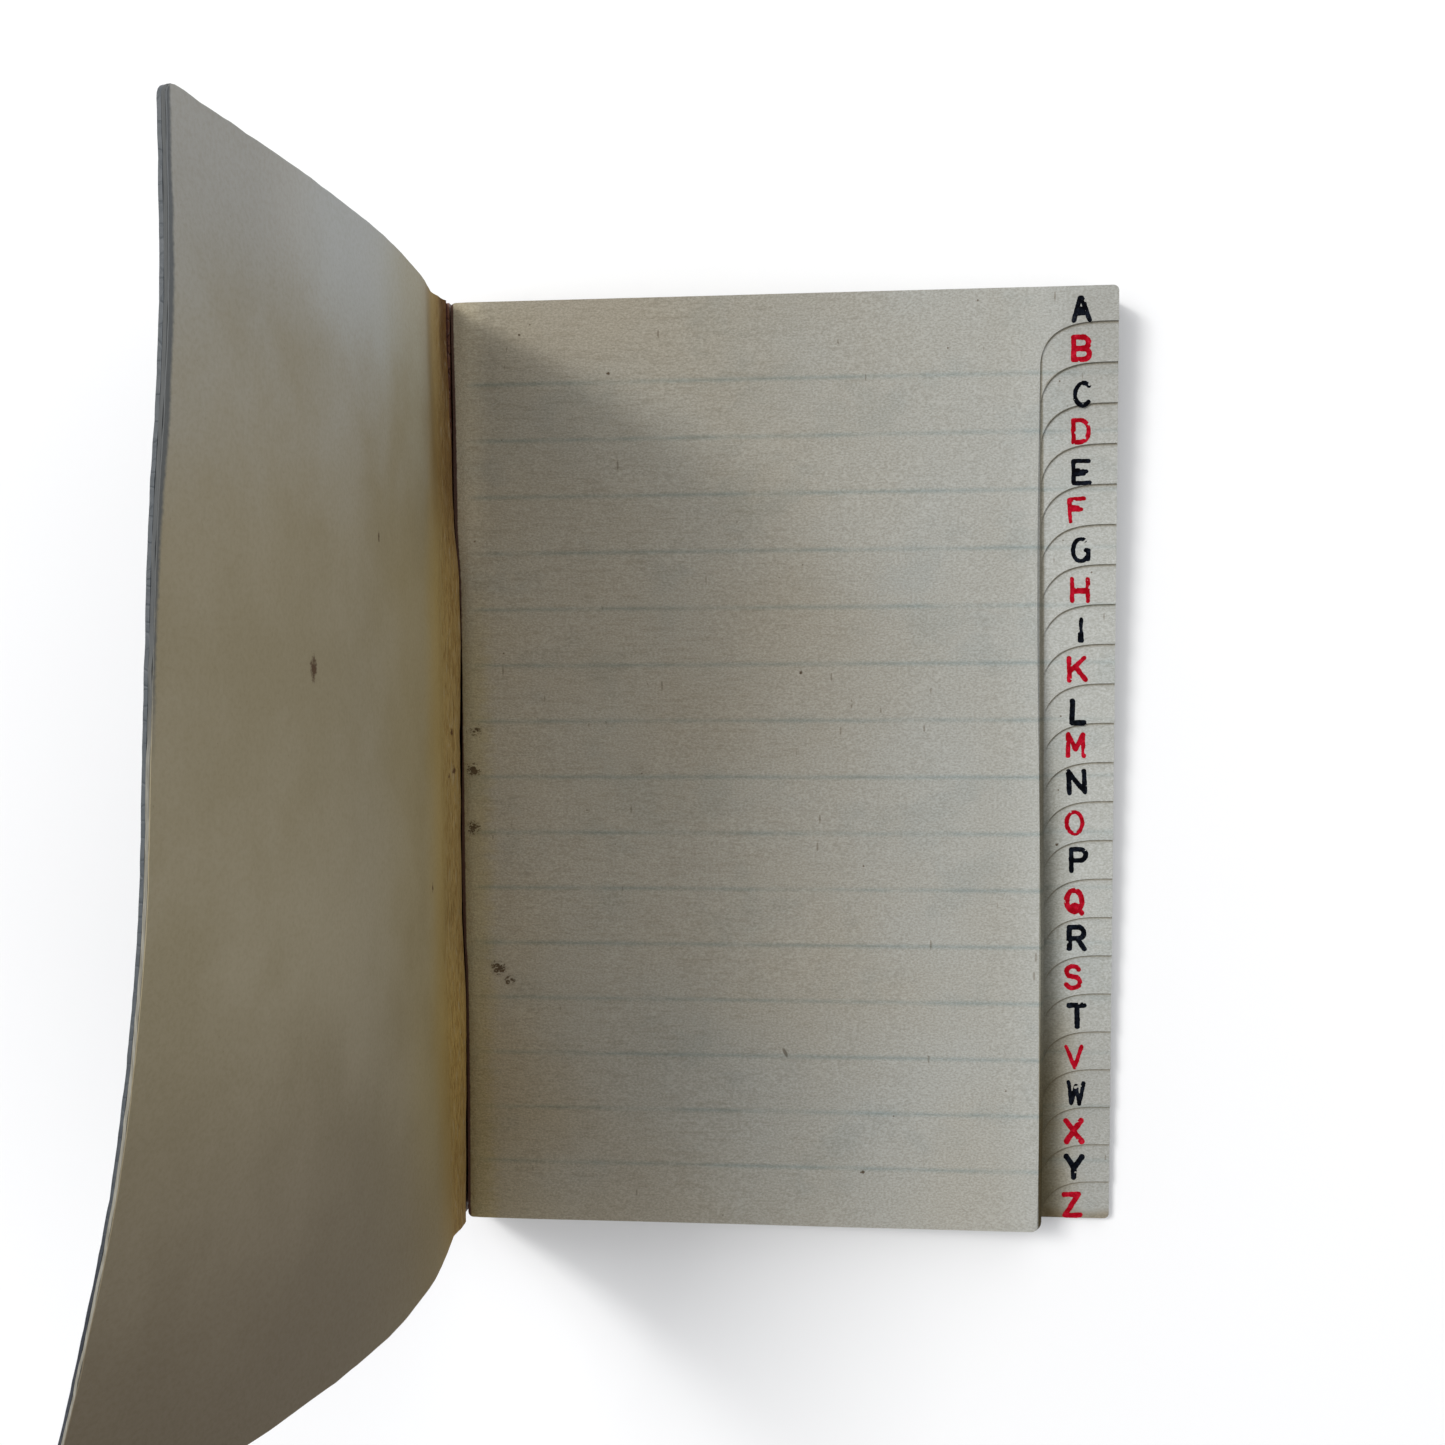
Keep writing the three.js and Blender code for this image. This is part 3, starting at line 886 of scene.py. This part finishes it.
def leather_finish():
    leather = Finish("worn_leather")
    y, z = leather.axis("Y"), leather.axis("Z")
    warp = leather.noise(0.5, detail=2)
    pebbles = leather.cells(1.15, feature="SMOOTH_F1", randomness=0.9)
    creases = leather.cells(0.42, feature="DISTANCE_TO_EDGE", stretch=(1, 1.7, 1))
    away = leather.axis("X") - SPINE_FACE
    broad = leather.noise(0.09, detail=5, rough=0.6)
    fine = leather.noise(4.0, detail=3, rough=0.6)

    colour = leather.mix(broad.step(0.3, 0.7), (0.0085, 0.0115, 0.019), (0.020, 0.025, 0.035))
    raised = pebbles.step(0.42, 0.12) * broad.step(0.42, 0.66)
    colour = leather.mix(raised * 0.4, colour, (0.055, 0.062, 0.075))
    end_wear = (abs(y) + (warp - 0.5) * 3.0).step(50.4, 52.6)
    colour = leather.mix(end_wear * (0.2 + fine * 0.5), colour, (0.14, 0.145, 0.155))
    out = (away ** 2 + (z - BOOK_TOP) ** 2) ** 0.5
    edge_wear = (out + (warp - 0.5) * 0.7).step(72.6, 73.1)
    colour = leather.mix(edge_wear * 0.8, colour, (0.075, 0.085, 0.092))
    fold_front = (out + (warp - 0.5) * 1.2).step(1.0, 0.15)
    fold_back = ((away ** 2 + z ** 2) ** 0.5 + (warp - 0.5) * 1.0).step(0.9, 0.3) * 0.5
    fold_wear = (fold_front + fold_back).at_most(1) * fine
    colour = leather.mix(fold_wear * 0.5, colour, (0.12, 0.12, 0.125))
    inside = away.step(0.15, 0.28) * away.step(1.5, 1.0)
    in_spine = z.step(0.2, 0.32) * z.step(BOOK_TOP - 0.15, BOOK_TOP - 0.3)
    colour = leather.mix(inside * in_spine, colour, (0.085, 0.026, 0.017))
    scuffs = leather.noise(0.28, detail=6, rough=0.7, stretch=(1, 0.35, 1)).step(0.62, 0.7)
    colour = leather.mix(scuffs * 0.3, colour, (0.14, 0.145, 0.15))

    normal = leather.bump(pebbles + fine * 0.2, -0.12)
    normal = leather.bump(creases.step(0, 0.09), 0.035, under=normal)
    rough_skin = 0.42 + fine * 0.16 + broad * 0.12
    return leather.finish(Base_Color=colour, Roughness=rough_skin, Normal=normal)


leather_material = leather_finish()
print("leather made of", len(leather_material.node_tree.nodes), "nodes")

# %% [markdown]
# ## The card and the lining
#
# The card is pasteboard, and only its cut edge is seen, so its finish is all about that edge: soft
# layers of cream fibre, darker and blue-grey towards the head with painted shade, where the edge
# faces away from the light. The lining was smooth cream paper. It has gone mottled, a little green
# in the middle and greyer at the head, with foxing, and it is brown by the fold where the glue came
# through. Painted light and shade lie in its colour too: lighter at the head with a painted sheen,
# darker towards the tail, lighter near the fold, and dark deep in the gutter and along the head
# half of the free edge.

# %% Make the card and the lining
LINING_SPOTS = ((50.0, 12.0, 0.8), (4.1, 4.2, 0.36), (3.75, -0.2, 0.4), (4.7, -0.8, 0.24),
                (33.0, 24.0, 0.35), (13.0, -12.0, 0.4))


def card_finish():
    card = Finish("pasteboard")
    y = card.axis("Y")
    layers = card.noise(2.2, detail=4, rough=0.7, stretch=(2.5, 0.12, 2.5))
    # Painted shade on the card's edge towards the head, where the edge faces away from the light,
    # tinted blue-grey.
    shade_to_head = (y + (card.noise(0.12, detail=4) - 0.5) * 46).step(-6, 18)
    colour = card.mix(layers.step(0.3, 0.7), (0.17, 0.155, 0.12), (0.30, 0.285, 0.24))
    colour = card.mix(shade_to_head * 0.85, colour, (0.065, 0.072, 0.078))
    return card.finish(Base_Color=colour, Roughness=0.9, Normal=card.bump(layers, 0.06))


def lining_finish():
    lining = Finish("lining_paper")
    x, y, z = lining.axis("X"), lining.axis("Y"), lining.axis("Z")
    out = ((x - SPINE_FACE) ** 2 + (z - BOOK_TOP) ** 2) ** 0.5
    mottle = lining.noise(0.055, detail=5, rough=0.6)
    grain = lining.noise(2.4, detail=4, rough=0.65)
    fibres = lining.noise(0.55, detail=5, rough=0.7, stretch=(1.6, 0.3, 1.6))
    threads = lining.noise(2.6, detail=4, rough=0.65, stretch=(1, 0.2, 1), wavy=0.7)

    colour = lining.mix(mottle.step(0.36, 0.64), (0.263, 0.224, 0.140), (0.292, 0.253, 0.170))
    # Lighter and greyer towards the head: grey tone with painted light, and a painted sheen along
    # the head edge.
    head = (y + (mottle - 0.5) * 24).step(22, 50)
    colour = lining.mix(head, colour, (0.343, 0.332, 0.292))
    colour = lining.mix((y + (mottle - 0.5) * 14).step(38, 53), colour, (0.39, 0.382, 0.352))
    # Painted shade towards the tail.
    tail = (y + (mottle - 0.5) * 20).step(-6, -54)
    colour = lining.mix(tail, colour, (0.158, 0.13, 0.086))
    colour = lining.shade(grain.step(0.35, 0.75) * 0.6, colour, (0.86, 0.84, 0.78))

    # Lighter and yellower near the fold: painted light with a yellow tone; at the head only the
    # yellow tone.
    lit_and_yellowed = (out + (mottle - 0.5) * 10).step(40, 15)
    colour = lining.shade(lit_and_yellowed * y.step(34, 18), colour, (1.12, 1.07, 0.9))
    colour = lining.shade(lit_and_yellowed * y.step(22, 36), colour, (1.0, 0.955, 0.8))
    olive = (out + (mottle - 0.5) * 5).step(17, 10) * y.step(22, 36)
    colour = lining.shade(olive, colour, (0.93, 0.88, 0.82))
    # Painted light and shade on the lining: lighter near the fold at the tail and darker far out at
    # the tail, and a bluish painted sheen part way out at the head; the far head corner is made
    # darker.
    colour = lining.shade(out.step(30, 14) * y.step(-14, -34), colour, (1.14, 1.12, 0.98))
    colour = lining.shade(out.step(28, 52) * y.step(-8, -40), colour, (0.88, 0.86, 0.86))
    colour = lining.shade(out.step(50, 62) * y.step(34, 48), colour, (0.9, 0.9, 0.9))
    colour = lining.shade(abs(out - 38).step(18, 6) * y.step(34, 46), colour, (1.06, 1.1, 1.16))
    reach = out * (0.8 - 0.32 * y.step(50, 15))
    # Glue soaked through near the fold, yellow-brown, with painted light that lifts it.
    soaked_and_lit = (reach + (mottle - 0.5) * 3 + (fibres - 0.5) * 1.4).step(8.8, 3.2)
    colour = lining.shade(soaked_and_lit, colour, (1.25, 1.11, 0.74))
    torn = (reach + (fibres - 0.5) * 1.6).step(4.3, 1.4) * (0.6 + 0.4 * y.step(8, 30))
    colour = lining.shade(torn, colour, (0.86, 0.735, 0.59))
    # Painted light near the fold at the tail.
    at_tail = (out + (fibres - 0.5) * 3).step(9, 4) * y.step(-14, -34)
    colour = lining.shade(at_tail, colour, (1.24, 1.24, 1.16))
    colour = lining.shade(reach.step(1.7, 0.7) * 0.7, colour, (0.87, 0.78, 0.72))
    dark_strip = (out + (fibres - 0.5) * 2.4).step(11.5, 7.5) * y.step(22, 34)
    colour = lining.shade(dark_strip, colour, (0.71, 0.64, 0.52))
    # Painted shade deep in the gutter at the head.
    gutter_shade_at_head = (z - BOOK_TOP + (fibres - 0.5)).step(3.8, 1.6) * y.step(38, 50)
    colour = lining.shade(gutter_shade_at_head, colour, (0.5, 0.4, 0.27))
    frayed = (reach + (fibres - 0.5)).step(5.0, 1.8)
    colour = lining.shade(frayed * threads.step(0.52, 0.36) * 0.8, colour, (0.66, 0.56, 0.42))
    colour = lining.mix(frayed * threads.step(0.55, 0.68) * 0.4, colour, (0.36, 0.30, 0.2))
    # Painted shade right in the gutter, dark brown.
    gutter = (out + (fibres - 0.5) * 0.8).step(1.0, 0.45)
    colour = lining.shade(gutter * 0.8, colour, (0.5, 0.3, 0.17))

    for place_out, place_y, radius in LINING_SPOTS:
        away = ((out - place_out) ** 2 + ((y - place_y) * 0.6) ** 2) ** 0.5
        marked = (away + (grain - 0.5) * radius * 2.4).step(radius, radius * 0.3)
        colour = lining.shade(marked * 0.95, colour, (0.27, 0.16, 0.11))
    # Dark along the free edge on the head half: painted shade where the edge rolls away, with dark
    # staining.
    rubbed_and_shaded = (out + (mottle - 0.5) * 1.2 + (grain - 0.5) * 0.4).step(72.7, 73.2) * y.step(4, 14)
    colour = lining.mix(rubbed_and_shaded * 0.85, colour, (0.075, 0.085, 0.095))
    specks = lining.cells(0.5).step(0.05, 0.02)
    colour = lining.shade(specks * 0.3, colour, (0.5, 0.42, 0.32))

    normal = lining.bump(grain, 0.04)
    normal = lining.bump(threads * frayed, 0.35, under=normal)
    return lining.finish(Base_Color=colour, Roughness=0.72 + grain * 0.2, Specular_IOR_Level=0.3,
                         Normal=normal)


card_material = card_finish()
lining_material = lining_finish()
print("card and lining made")

# %% [markdown]
# ## The cloth and the glue
#
# The strip of cloth down the back is a dark red bookbinder's linen. Its weave is two sets of
# threads crossing at right angles, which two waves make: one along the book, one across it. The
# glue over it is old animal glue, brown and glassy where it ran and dull where it cracked.

# %% Make the cloth and the glue
WEAVE_ALONG, WEAVE_ACROSS = 0.5, 0.42


def cloth_finish():
    cloth = Finish("red_linen")
    y, z = cloth.axis("Y"), cloth.axis("Z")
    along = (y * (2 * math.pi / WEAVE_ALONG)).sine()
    across = (z * (2 * math.pi / WEAVE_ACROSS)).sine()
    weave = abs(along) * 0.5 + abs(across) * 0.5
    fray = cloth.noise(1.8, detail=4, rough=0.7)
    colour = cloth.mix(fray.step(0.35, 0.7), (0.15, 0.016, 0.018), (0.24, 0.04, 0.036))
    colour = cloth.shade(weave.step(0.5, 0.1) * 0.7, colour, (0.45, 0.4, 0.4))
    # The cloth is darker towards the head.
    cloth_darker_to_head = (y + (fray - 0.5) * 3).step(23, 29)
    colour = cloth.shade(cloth_darker_to_head, colour, (0.3, 0.42, 0.36))
    normal = cloth.bump(weave + fray * 0.4, 0.08)
    return cloth.finish(Base_Color=colour, Roughness=0.9, Normal=normal)


def glue_finish():
    glue = Finish("old_glue")
    runs = glue.noise(0.7, detail=4, rough=0.6, stretch=(1, 0.4, 1))
    cracks = glue.cells(0.55, feature="DISTANCE_TO_EDGE").step(0.08, 0.0)
    colour = glue.mix(runs.step(0.35, 0.7), (0.085, 0.028, 0.014), (0.17, 0.07, 0.034))
    colour = glue.shade(cracks * 0.6, colour, (0.4, 0.35, 0.3))
    normal = glue.bump(runs - cracks, 0.1)
    return glue.finish(Base_Color=colour, Roughness=0.3 + runs * 0.35, Normal=normal)


cloth_material = cloth_finish()
glue_material = glue_finish()
print("cloth and glue made")

# %% [markdown]
# ## The standing cover
#
# The front cover has been folded back so often that it has kept a curl: it stands nearly upright
# from the fold and curls over more and more tightly on its way out, far more at the tail than at
# the head. A bone or a curve deform could bend flat layers like that, but one formula for a point
# of the cover, by its way out from the fold, its place up the book and its depth from the outer
# face, keeps the three layers exactly parallel and as thick as they should be. The way along and
# the way over are the first terms of the sums for a curve whose turn grows with the square of the
# way out. The back cover is flat, and its formula only rounds the lower fold.

# %% Write the shapes of the covers
COVER_OPENING = math.radians(85.6)
HEAD_TURN, TAIL_TURN = math.radians(13.8), math.radians(46)
COVER_REACH = 73.4
COVER_CORNER = 1.2
LOWER_FOLD_RADIUS = 0.55
EDGE_LIFTS = ((-52, 0.2), (-37, 0.14), (-28.5, -0.2), (-20, -0.28), (-12, -0.28), (-3.8, -0.2),
              (4.4, 0.16), (12.6, 0.3), (21, 0.28), (29, -0.05), (34, -0.3), (38, -0.5),
              (52, -0.55))
HEAD_LIFTS = ((0, 0), (1.2, 0.8), (4, 0.85), (8, 0.55), (12, 0.25), (18, 0.1), (25, -0.05),
              (34, 0), (42, 0.2), (50, 0.25), (61, 0.22), (67, 0.0), (71, -0.3), (74, -0.6))
TAIL_LIFTS = ((0, 0), (2, -0.03), (6, -0.25), (12, -0.58), (18, -0.85), (24, -0.75), (30, -0.65),
              (36, -0.25), (42, 0.1), (46, 0.35), (52, 0.3), (74, 0.2))


def cover_lift(out, y):
    """How far the cover is bent outwards from its even curl, measured along its edges, in mm."""
    out, y = np.broadcast_arrays(out, y)
    head, tail = ease(y, 22, 52), ease(y, -20, -52)
    middle = ease(out, 8, COVER_REACH) * flowing(y, EDGE_LIFTS)
    middle = middle + 0.15 * ease(out, 6, 40) * rough(out, y, 40, 26, 5.2)
    bent = head * flowing(out, HEAD_LIFTS) + tail * flowing(out, TAIL_LIFTS)
    return bent + (1 - head - tail) * middle


def front_point(out, y, depth):
    """Points of the front cover, in mm. Below the fold, where out is negative, it is the spine."""
    from_head = 0.5 - y / (2 * HEAD)
    way = np.maximum(out, 0)
    turn = HEAD_TURN * (TAIL_TURN / HEAD_TURN) ** (from_head ** 2) * (way / COVER_REACH) ** 2
    inwards = depth - cover_lift(out, y)
    along = way * (1 - turn ** 2 / 10 + turn ** 4 / 216) + inwards * np.sin(turn)
    over = way * (turn / 3 - turn ** 3 / 42 + turn ** 5 / 1320) - inwards * np.cos(turn)
    x = SPINE_FACE + along * math.cos(COVER_OPENING) - over * math.sin(COVER_OPENING)
    z = BOOK_TOP + along * math.sin(COVER_OPENING) + over * math.cos(COVER_OPENING)
    on_spine = ease(out, 0.3, -0.3)
    x = x + (SPINE_FACE + depth - x) * on_spine
    z = z + (BOOK_TOP + np.minimum(out, 0) - z) * on_spine
    return np.column_stack([x, y, z])


def back_point(out, y, depth):
    """Points of the back cover, in mm: flat on the table, round a small corner and up the spine."""
    radius = LOWER_FOLD_RADIUS
    bend = radius * math.pi / 2
    turn = np.clip((out + bend / 2) / bend, 0, 1) * math.pi / 2
    run = np.maximum(out - bend / 2, 0)
    rise = np.maximum(-out - bend / 2, 0)
    x = SPINE_FACE + radius - (radius - depth) * np.cos(turn) + run
    z = radius - (radius - depth) * np.sin(turn) + rise
    return np.column_stack([x, y, z])


print("the front cover opens", round(math.degrees(COVER_OPENING), 1), "degrees")

# %% [markdown]
# ## Building the layers
#
# Each layer is a grid with its columns close together near the fold, where it bends, and further
# apart beyond. The last millimetre of each row shortens to round the corners, and a little noise
# frays the edge. No two layers are given the same noise, so the cut edge looks torn by use.

# %% Write the layer maker
LEATHER_DEPTHS = (0.0, 0.35)
CARD_DEPTHS = (0.375, 0.675)
LINING_DEPTHS = (0.70, 0.80)
FOLD_GAP = 0.4
BACK_GAP = FOLD_GAP + 0.1
SPINE_SEAM = 1.0
FRAYED_END = 1.5
CORNER_TURNS = 5


def spaced(start, stop, step, fine_stop=None, fine_step=None):
    """Shares from 0 to 1 for columns: fine ones first, then even ones up to the end."""
    fine = np.arange(start, fine_stop, fine_step) if fine_stop is not None else np.array([start])
    coarse_start = fine_stop if fine_stop is not None else start + step
    coarse = np.linspace(coarse_start, stop, max(2, round((stop - coarse_start) / step)))
    return (np.concatenate([fine, coarse]) - start) / (stop - start)


def row_places(step):
    edge = HEAD - COVER_CORNER
    turns = np.linspace(0, math.pi / 2, CORNER_TURNS + 1)[:-1]
    end = edge + COVER_CORNER * np.cos(turns)
    inner = np.linspace(edge, -edge, round(2 * edge / step))
    return np.concatenate([end, inner, -end[::-1]])


def make_layer(name, point, depths, first_out, columns, row_step, material,
               fray, seed, ends=None):
    """A layer of a cover, with its free edge and its two ends frayed by noise."""
    ys = row_places(row_step)
    round_off = np.maximum(0, np.abs(ys) - HEAD + COVER_CORNER)
    reach = COVER_REACH - COVER_CORNER + np.sqrt(np.maximum(0, COVER_CORNER ** 2 - round_off ** 2))
    reach = reach + fray * rough(ys, 0 * ys, 2.2, 1, seed)
    reach = reach + 0.5 * fray * rough(ys, 0 * ys, 0.6, 1, seed + 3)
    start = np.full(len(ys), float(first_out))
    out = start[:, None] + (reach - start)[:, None] * columns[None]
    y = np.repeat(ys[:, None], len(columns), axis=1)
    near_end = ease(np.abs(y), HEAD - FRAYED_END, HEAD)
    y = y + np.sign(y) * near_end * (fray * 0.8 * rough(out, np.sign(y), 2.4, 1, seed + 6))
    if ends is not None:
        y = y + near_end * ends(out, y)
    rows, count = out.shape
    out, y = out.ravel(), y.ravel()
    front = point(out, y, np.full(len(out), float(depths[0])))
    back = point(out, y, np.full(len(out), float(depths[1])))
    faces = grid_faces(rows, count)
    if point is front_point:
        faces = [tuple(reversed(face)) for face in faces]
    points, whole = closed_sheet(front, back, faces)
    return make_piece(name, points, whole, material)


print("cover layers end", COVER_REACH, "mm from the fold")

# %% [markdown]
# ## The front cover, layer by layer
#
# The leather is one skin from cover to cover. It is parted here on the flat of the spine, where the
# seam can't be seen. Some crumbs of it stick out past the tail edge. The card and the lining are
# stiff next to it, so they stop short of the fold and ride on the cover.

# %% Make the front cover
def flakes(out, y):
    """Crumbs of leather that stick out past the tail edge, in two places and a few stray ones."""
    stray = ease(rough(out, 0 * out, 0.9, 1, 31.0), 0.25, 0.6) * ease(out, 10, 20) * 0.22
    clumps = 0.55 * ease(np.abs(out - 15.6), 1.6, 0.3) + 0.45 * ease(np.abs(out - 40.5), 1.3, 0.2)
    clumps = clumps * (0.55 + 0.8 * rough(out, 0 * out, 0.5, 1, 12.0))
    return np.where(y < 0, -(stray + np.maximum(clumps, 0)), 0.0)


leather_columns = spaced(-SPINE_SEAM, COVER_REACH, 1.1, 1.0, 0.16)
card_columns = spaced(FOLD_GAP, COVER_REACH, 1.5)
lining_columns = spaced(FOLD_GAP, COVER_REACH, 1.2, 3.4, 0.3)

front_leather = make_layer("leather_front", front_point, LEATHER_DEPTHS, -SPINE_SEAM,
                           leather_columns, 0.8, leather_material,
                           fray=0.1, seed=1.0, ends=flakes)
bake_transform(front_leather)
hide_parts("front_cover_leather")

front_card = make_layer("card_front", front_point, CARD_DEPTHS, FOLD_GAP, card_columns, 1.2,
                        card_material, fray=0.12, seed=11.0)
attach(front_card, "front_cover")
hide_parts("front_cover_card")

front_lining = make_layer("lining_front", front_point, LINING_DEPTHS, FOLD_GAP, lining_columns, 1.0,
                          lining_material, fray=0.09, seed=21.0)
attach(front_lining, "front_cover")
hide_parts("front_cover_lining")
front_layers = (front_leather, front_card, front_lining)
print("front cover:", [len(piece.data.polygons) for piece in front_layers])

# %% [markdown]
# ## The torn strip along the fold
#
# The lining is torn along the fold, and its torn fibres have swollen and stand up in ridges that
# run along the fold. They could be part of the lining, but they are soft: when the book is shut,
# the leaves press them flat. So they are a strip laid over it, in five lengths.

# %% Lay the torn fibres over the lining
SWOLLEN = ((-52.5, 0.8), (-45, 0.9), (-33, 1.15), (-24, 1.15), (-21, 1.0), (0, 0.95), (23, 0.95),
           (25.5, 0.8), (41, 0.78), (49, 0.76), (52.5, 0.8))
TORN_FROM, TORN_TO = 0.6, 9.2
TORN_ENDS = (-52.4, -38, 28, 36, 44, 52.4)
TORN_COLUMN, TORN_ROW = 0.22, 0.6
TORN_FOOT, TORN_SINKS = 0.02, 0.012
PRESSED_INTO_CARD = 0.1


def torn_fibres(out, y):
    """How far the torn and swollen fibres by the fold stand up from the lining, in mm."""
    ridges, lumps = np.zeros(len(out)), np.zeros(len(out))
    near = out < 9
    ridges[near] = 1 - np.abs(rough(out[near], y[near], 0.7, 3.5, 4.4)) * 2.2
    lumps[near] = rough(out[near], y[near], 2.0, 5.0, 8.8)
    swollen = ease(out, 0.35, 1.1) * ease(out, 6.5, 1.5) * flowing(y, SWOLLEN)
    fibres = 0.06 * np.maximum(ridges, 0) + 0.07 * lumps
    return swollen + ease(out, 9, 3) * ease(out, 0.5, 1.0) * fibres


def make_torn_length(name, low, high):
    """One length of the torn strip, laid over the lining and riding on the front cover."""
    outs = np.arange(TORN_FROM, TORN_TO, TORN_COLUMN)
    ys = np.linspace(low, high, round((high - low) / TORN_ROW) + 1)
    out, y = (grid.ravel() for grid in np.meshgrid(outs, ys))
    base = front_point(out, y, np.full(len(out), LINING_DEPTHS[0] + TORN_FOOT))
    top = front_point(out, y, LINING_DEPTHS[1] - TORN_SINKS + torn_fibres(out, y))
    points, whole = closed_sheet(base, top, turned_over(grid_faces(len(ys), len(outs))))
    piece = make_piece(name, points, whole, lining_material, "front_cover")
    pressed = CARD_DEPTHS[0] + PRESSED_INTO_CARD - float(cover_lift(out, y).mean())
    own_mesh(piece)
    return piece


torn = [make_torn_length("torn_fibres_" + str(number), low, high)
        for number, (low, high) in enumerate(zip(TORN_ENDS, TORN_ENDS[1:]), 1)]
print("torn strip:", [len(piece.data.polygons) for piece in torn])

# %% [markdown]
# ## The back cover
#
# The back cover is the same three layers, flat on the table. It isn't seen in the photograph, so it
# is the front cover's twin without the curl. Its leather rounds the lower fold and meets the
# spine's, and the same layer maker lays it down.

# %% Make the back cover
back_leather = make_layer("leather_back", back_point, LEATHER_DEPTHS, -SPINE_SEAM, leather_columns,
                          1.0, leather_material, fray=0.1, seed=41.0)
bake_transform(back_leather)
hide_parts("back_cover_leather")

back_card = make_layer("card_back", back_point, CARD_DEPTHS, BACK_GAP, card_columns, 1.5,
                       card_material, fray=0.12, seed=51.0)
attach(back_card, "back_cover")
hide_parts("back_cover_card")

back_lining = make_layer("lining_back", back_point, LINING_DEPTHS, BACK_GAP, card_columns, 1.2,
                         lining_material, fray=0.09, seed=61.0)
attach(back_lining, "back_cover")
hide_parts("back_cover_lining")
back_layers = (back_leather, back_card, back_lining)
print("back cover:", [len(piece.data.polygons) for piece in back_layers])

# %% [markdown]
# ## The spine
#
# The leather goes on over the spine, between the two covers. Down its inside run the red cloth and
# the glue: the cloth shows as a thin red line in the gutter, and the glue is uneven where it was
# brushed on. Boxes would do for all three, but a grid lets the glue's inner face waver.

# %% Make the spine
STRIP_ROWS, STRIP_COLUMNS = 90, 12


def make_strip(name, node, material, waver):
    """A sheet that stands along the spine, with the size of its node and a wavering inner face."""
    low, high = (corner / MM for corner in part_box(node))
    ys = np.linspace(low.y, high.y, STRIP_ROWS)
    zs = np.linspace(low.z, high.z, STRIP_COLUMNS)
    y, z = (grid.ravel() for grid in np.meshgrid(ys, zs, indexing="ij"))
    outer = np.column_stack([np.full(len(y), low.x), y, z])
    inner = np.column_stack([high.x + waver * rough(y, z, 3.0, 1.4, 3.3), y, z])
    points, whole = closed_sheet(inner, outer, grid_faces(STRIP_ROWS, STRIP_COLUMNS))
    strip = make_piece(name, points, whole, material, "spine")
    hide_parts(node)
    return strip


def make_spine_leather():
    low, high = (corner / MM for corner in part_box("spine_leather"))
    ys = row_places(1.0)
    zs = np.linspace(SPINE_SEAM, BOOK_TOP - SPINE_SEAM, 14)
    y, z = (grid.ravel() for grid in np.meshgrid(ys, zs, indexing="ij"))
    outer = np.column_stack([np.full(len(y), low.x), y, z])
    inner = np.column_stack([np.full(len(y), high.x), y, z])
    points, whole = closed_sheet(outer, inner, turned_over(grid_faces(len(ys), len(zs))))
    strip = make_piece("leather_spine", points, whole, leather_material, "spine")
    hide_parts("spine_leather")
    return strip


spine_layers = (make_spine_leather(),
                make_strip("cloth_spine", "spine_cloth", cloth_material, 0.02),
                make_strip("glue_spine", "spine_glue", glue_material, 0.1))
print("spine:", [len(piece.data.polygons) for piece in spine_layers])

# %% [markdown]
# ## The table
#
# The table is a plain pale surface.

# %% Lay the table and finish
TABLE_SIDE, TABLE_DROP = 6.0, 1e-4


def make_table():
    table = Finish("pale_table")
    grain = table.noise(0.02, detail=3)
    colour = table.mix(grain, (0.88, 0.88, 0.88), (0.90, 0.90, 0.90))
    material = table.finish(Base_Color=colour, Roughness=0.9)
    mesh = bpy.data.meshes.new("table")
    corners = [(x * TABLE_SIDE, y * TABLE_SIDE, -TABLE_DROP)
               for x, y in ((-1, -1), (1, -1), (1, 1), (-1, 1))]
    mesh.from_pydata(corners, [], [(0, 1, 2, 3)])
    mesh.materials.append(material)
    piece = bpy.data.objects.new("table", mesh)
    bpy.context.scene.collection.objects.link(piece)


make_table()
bpy.context.scene.view_settings.view_transform = "Standard"
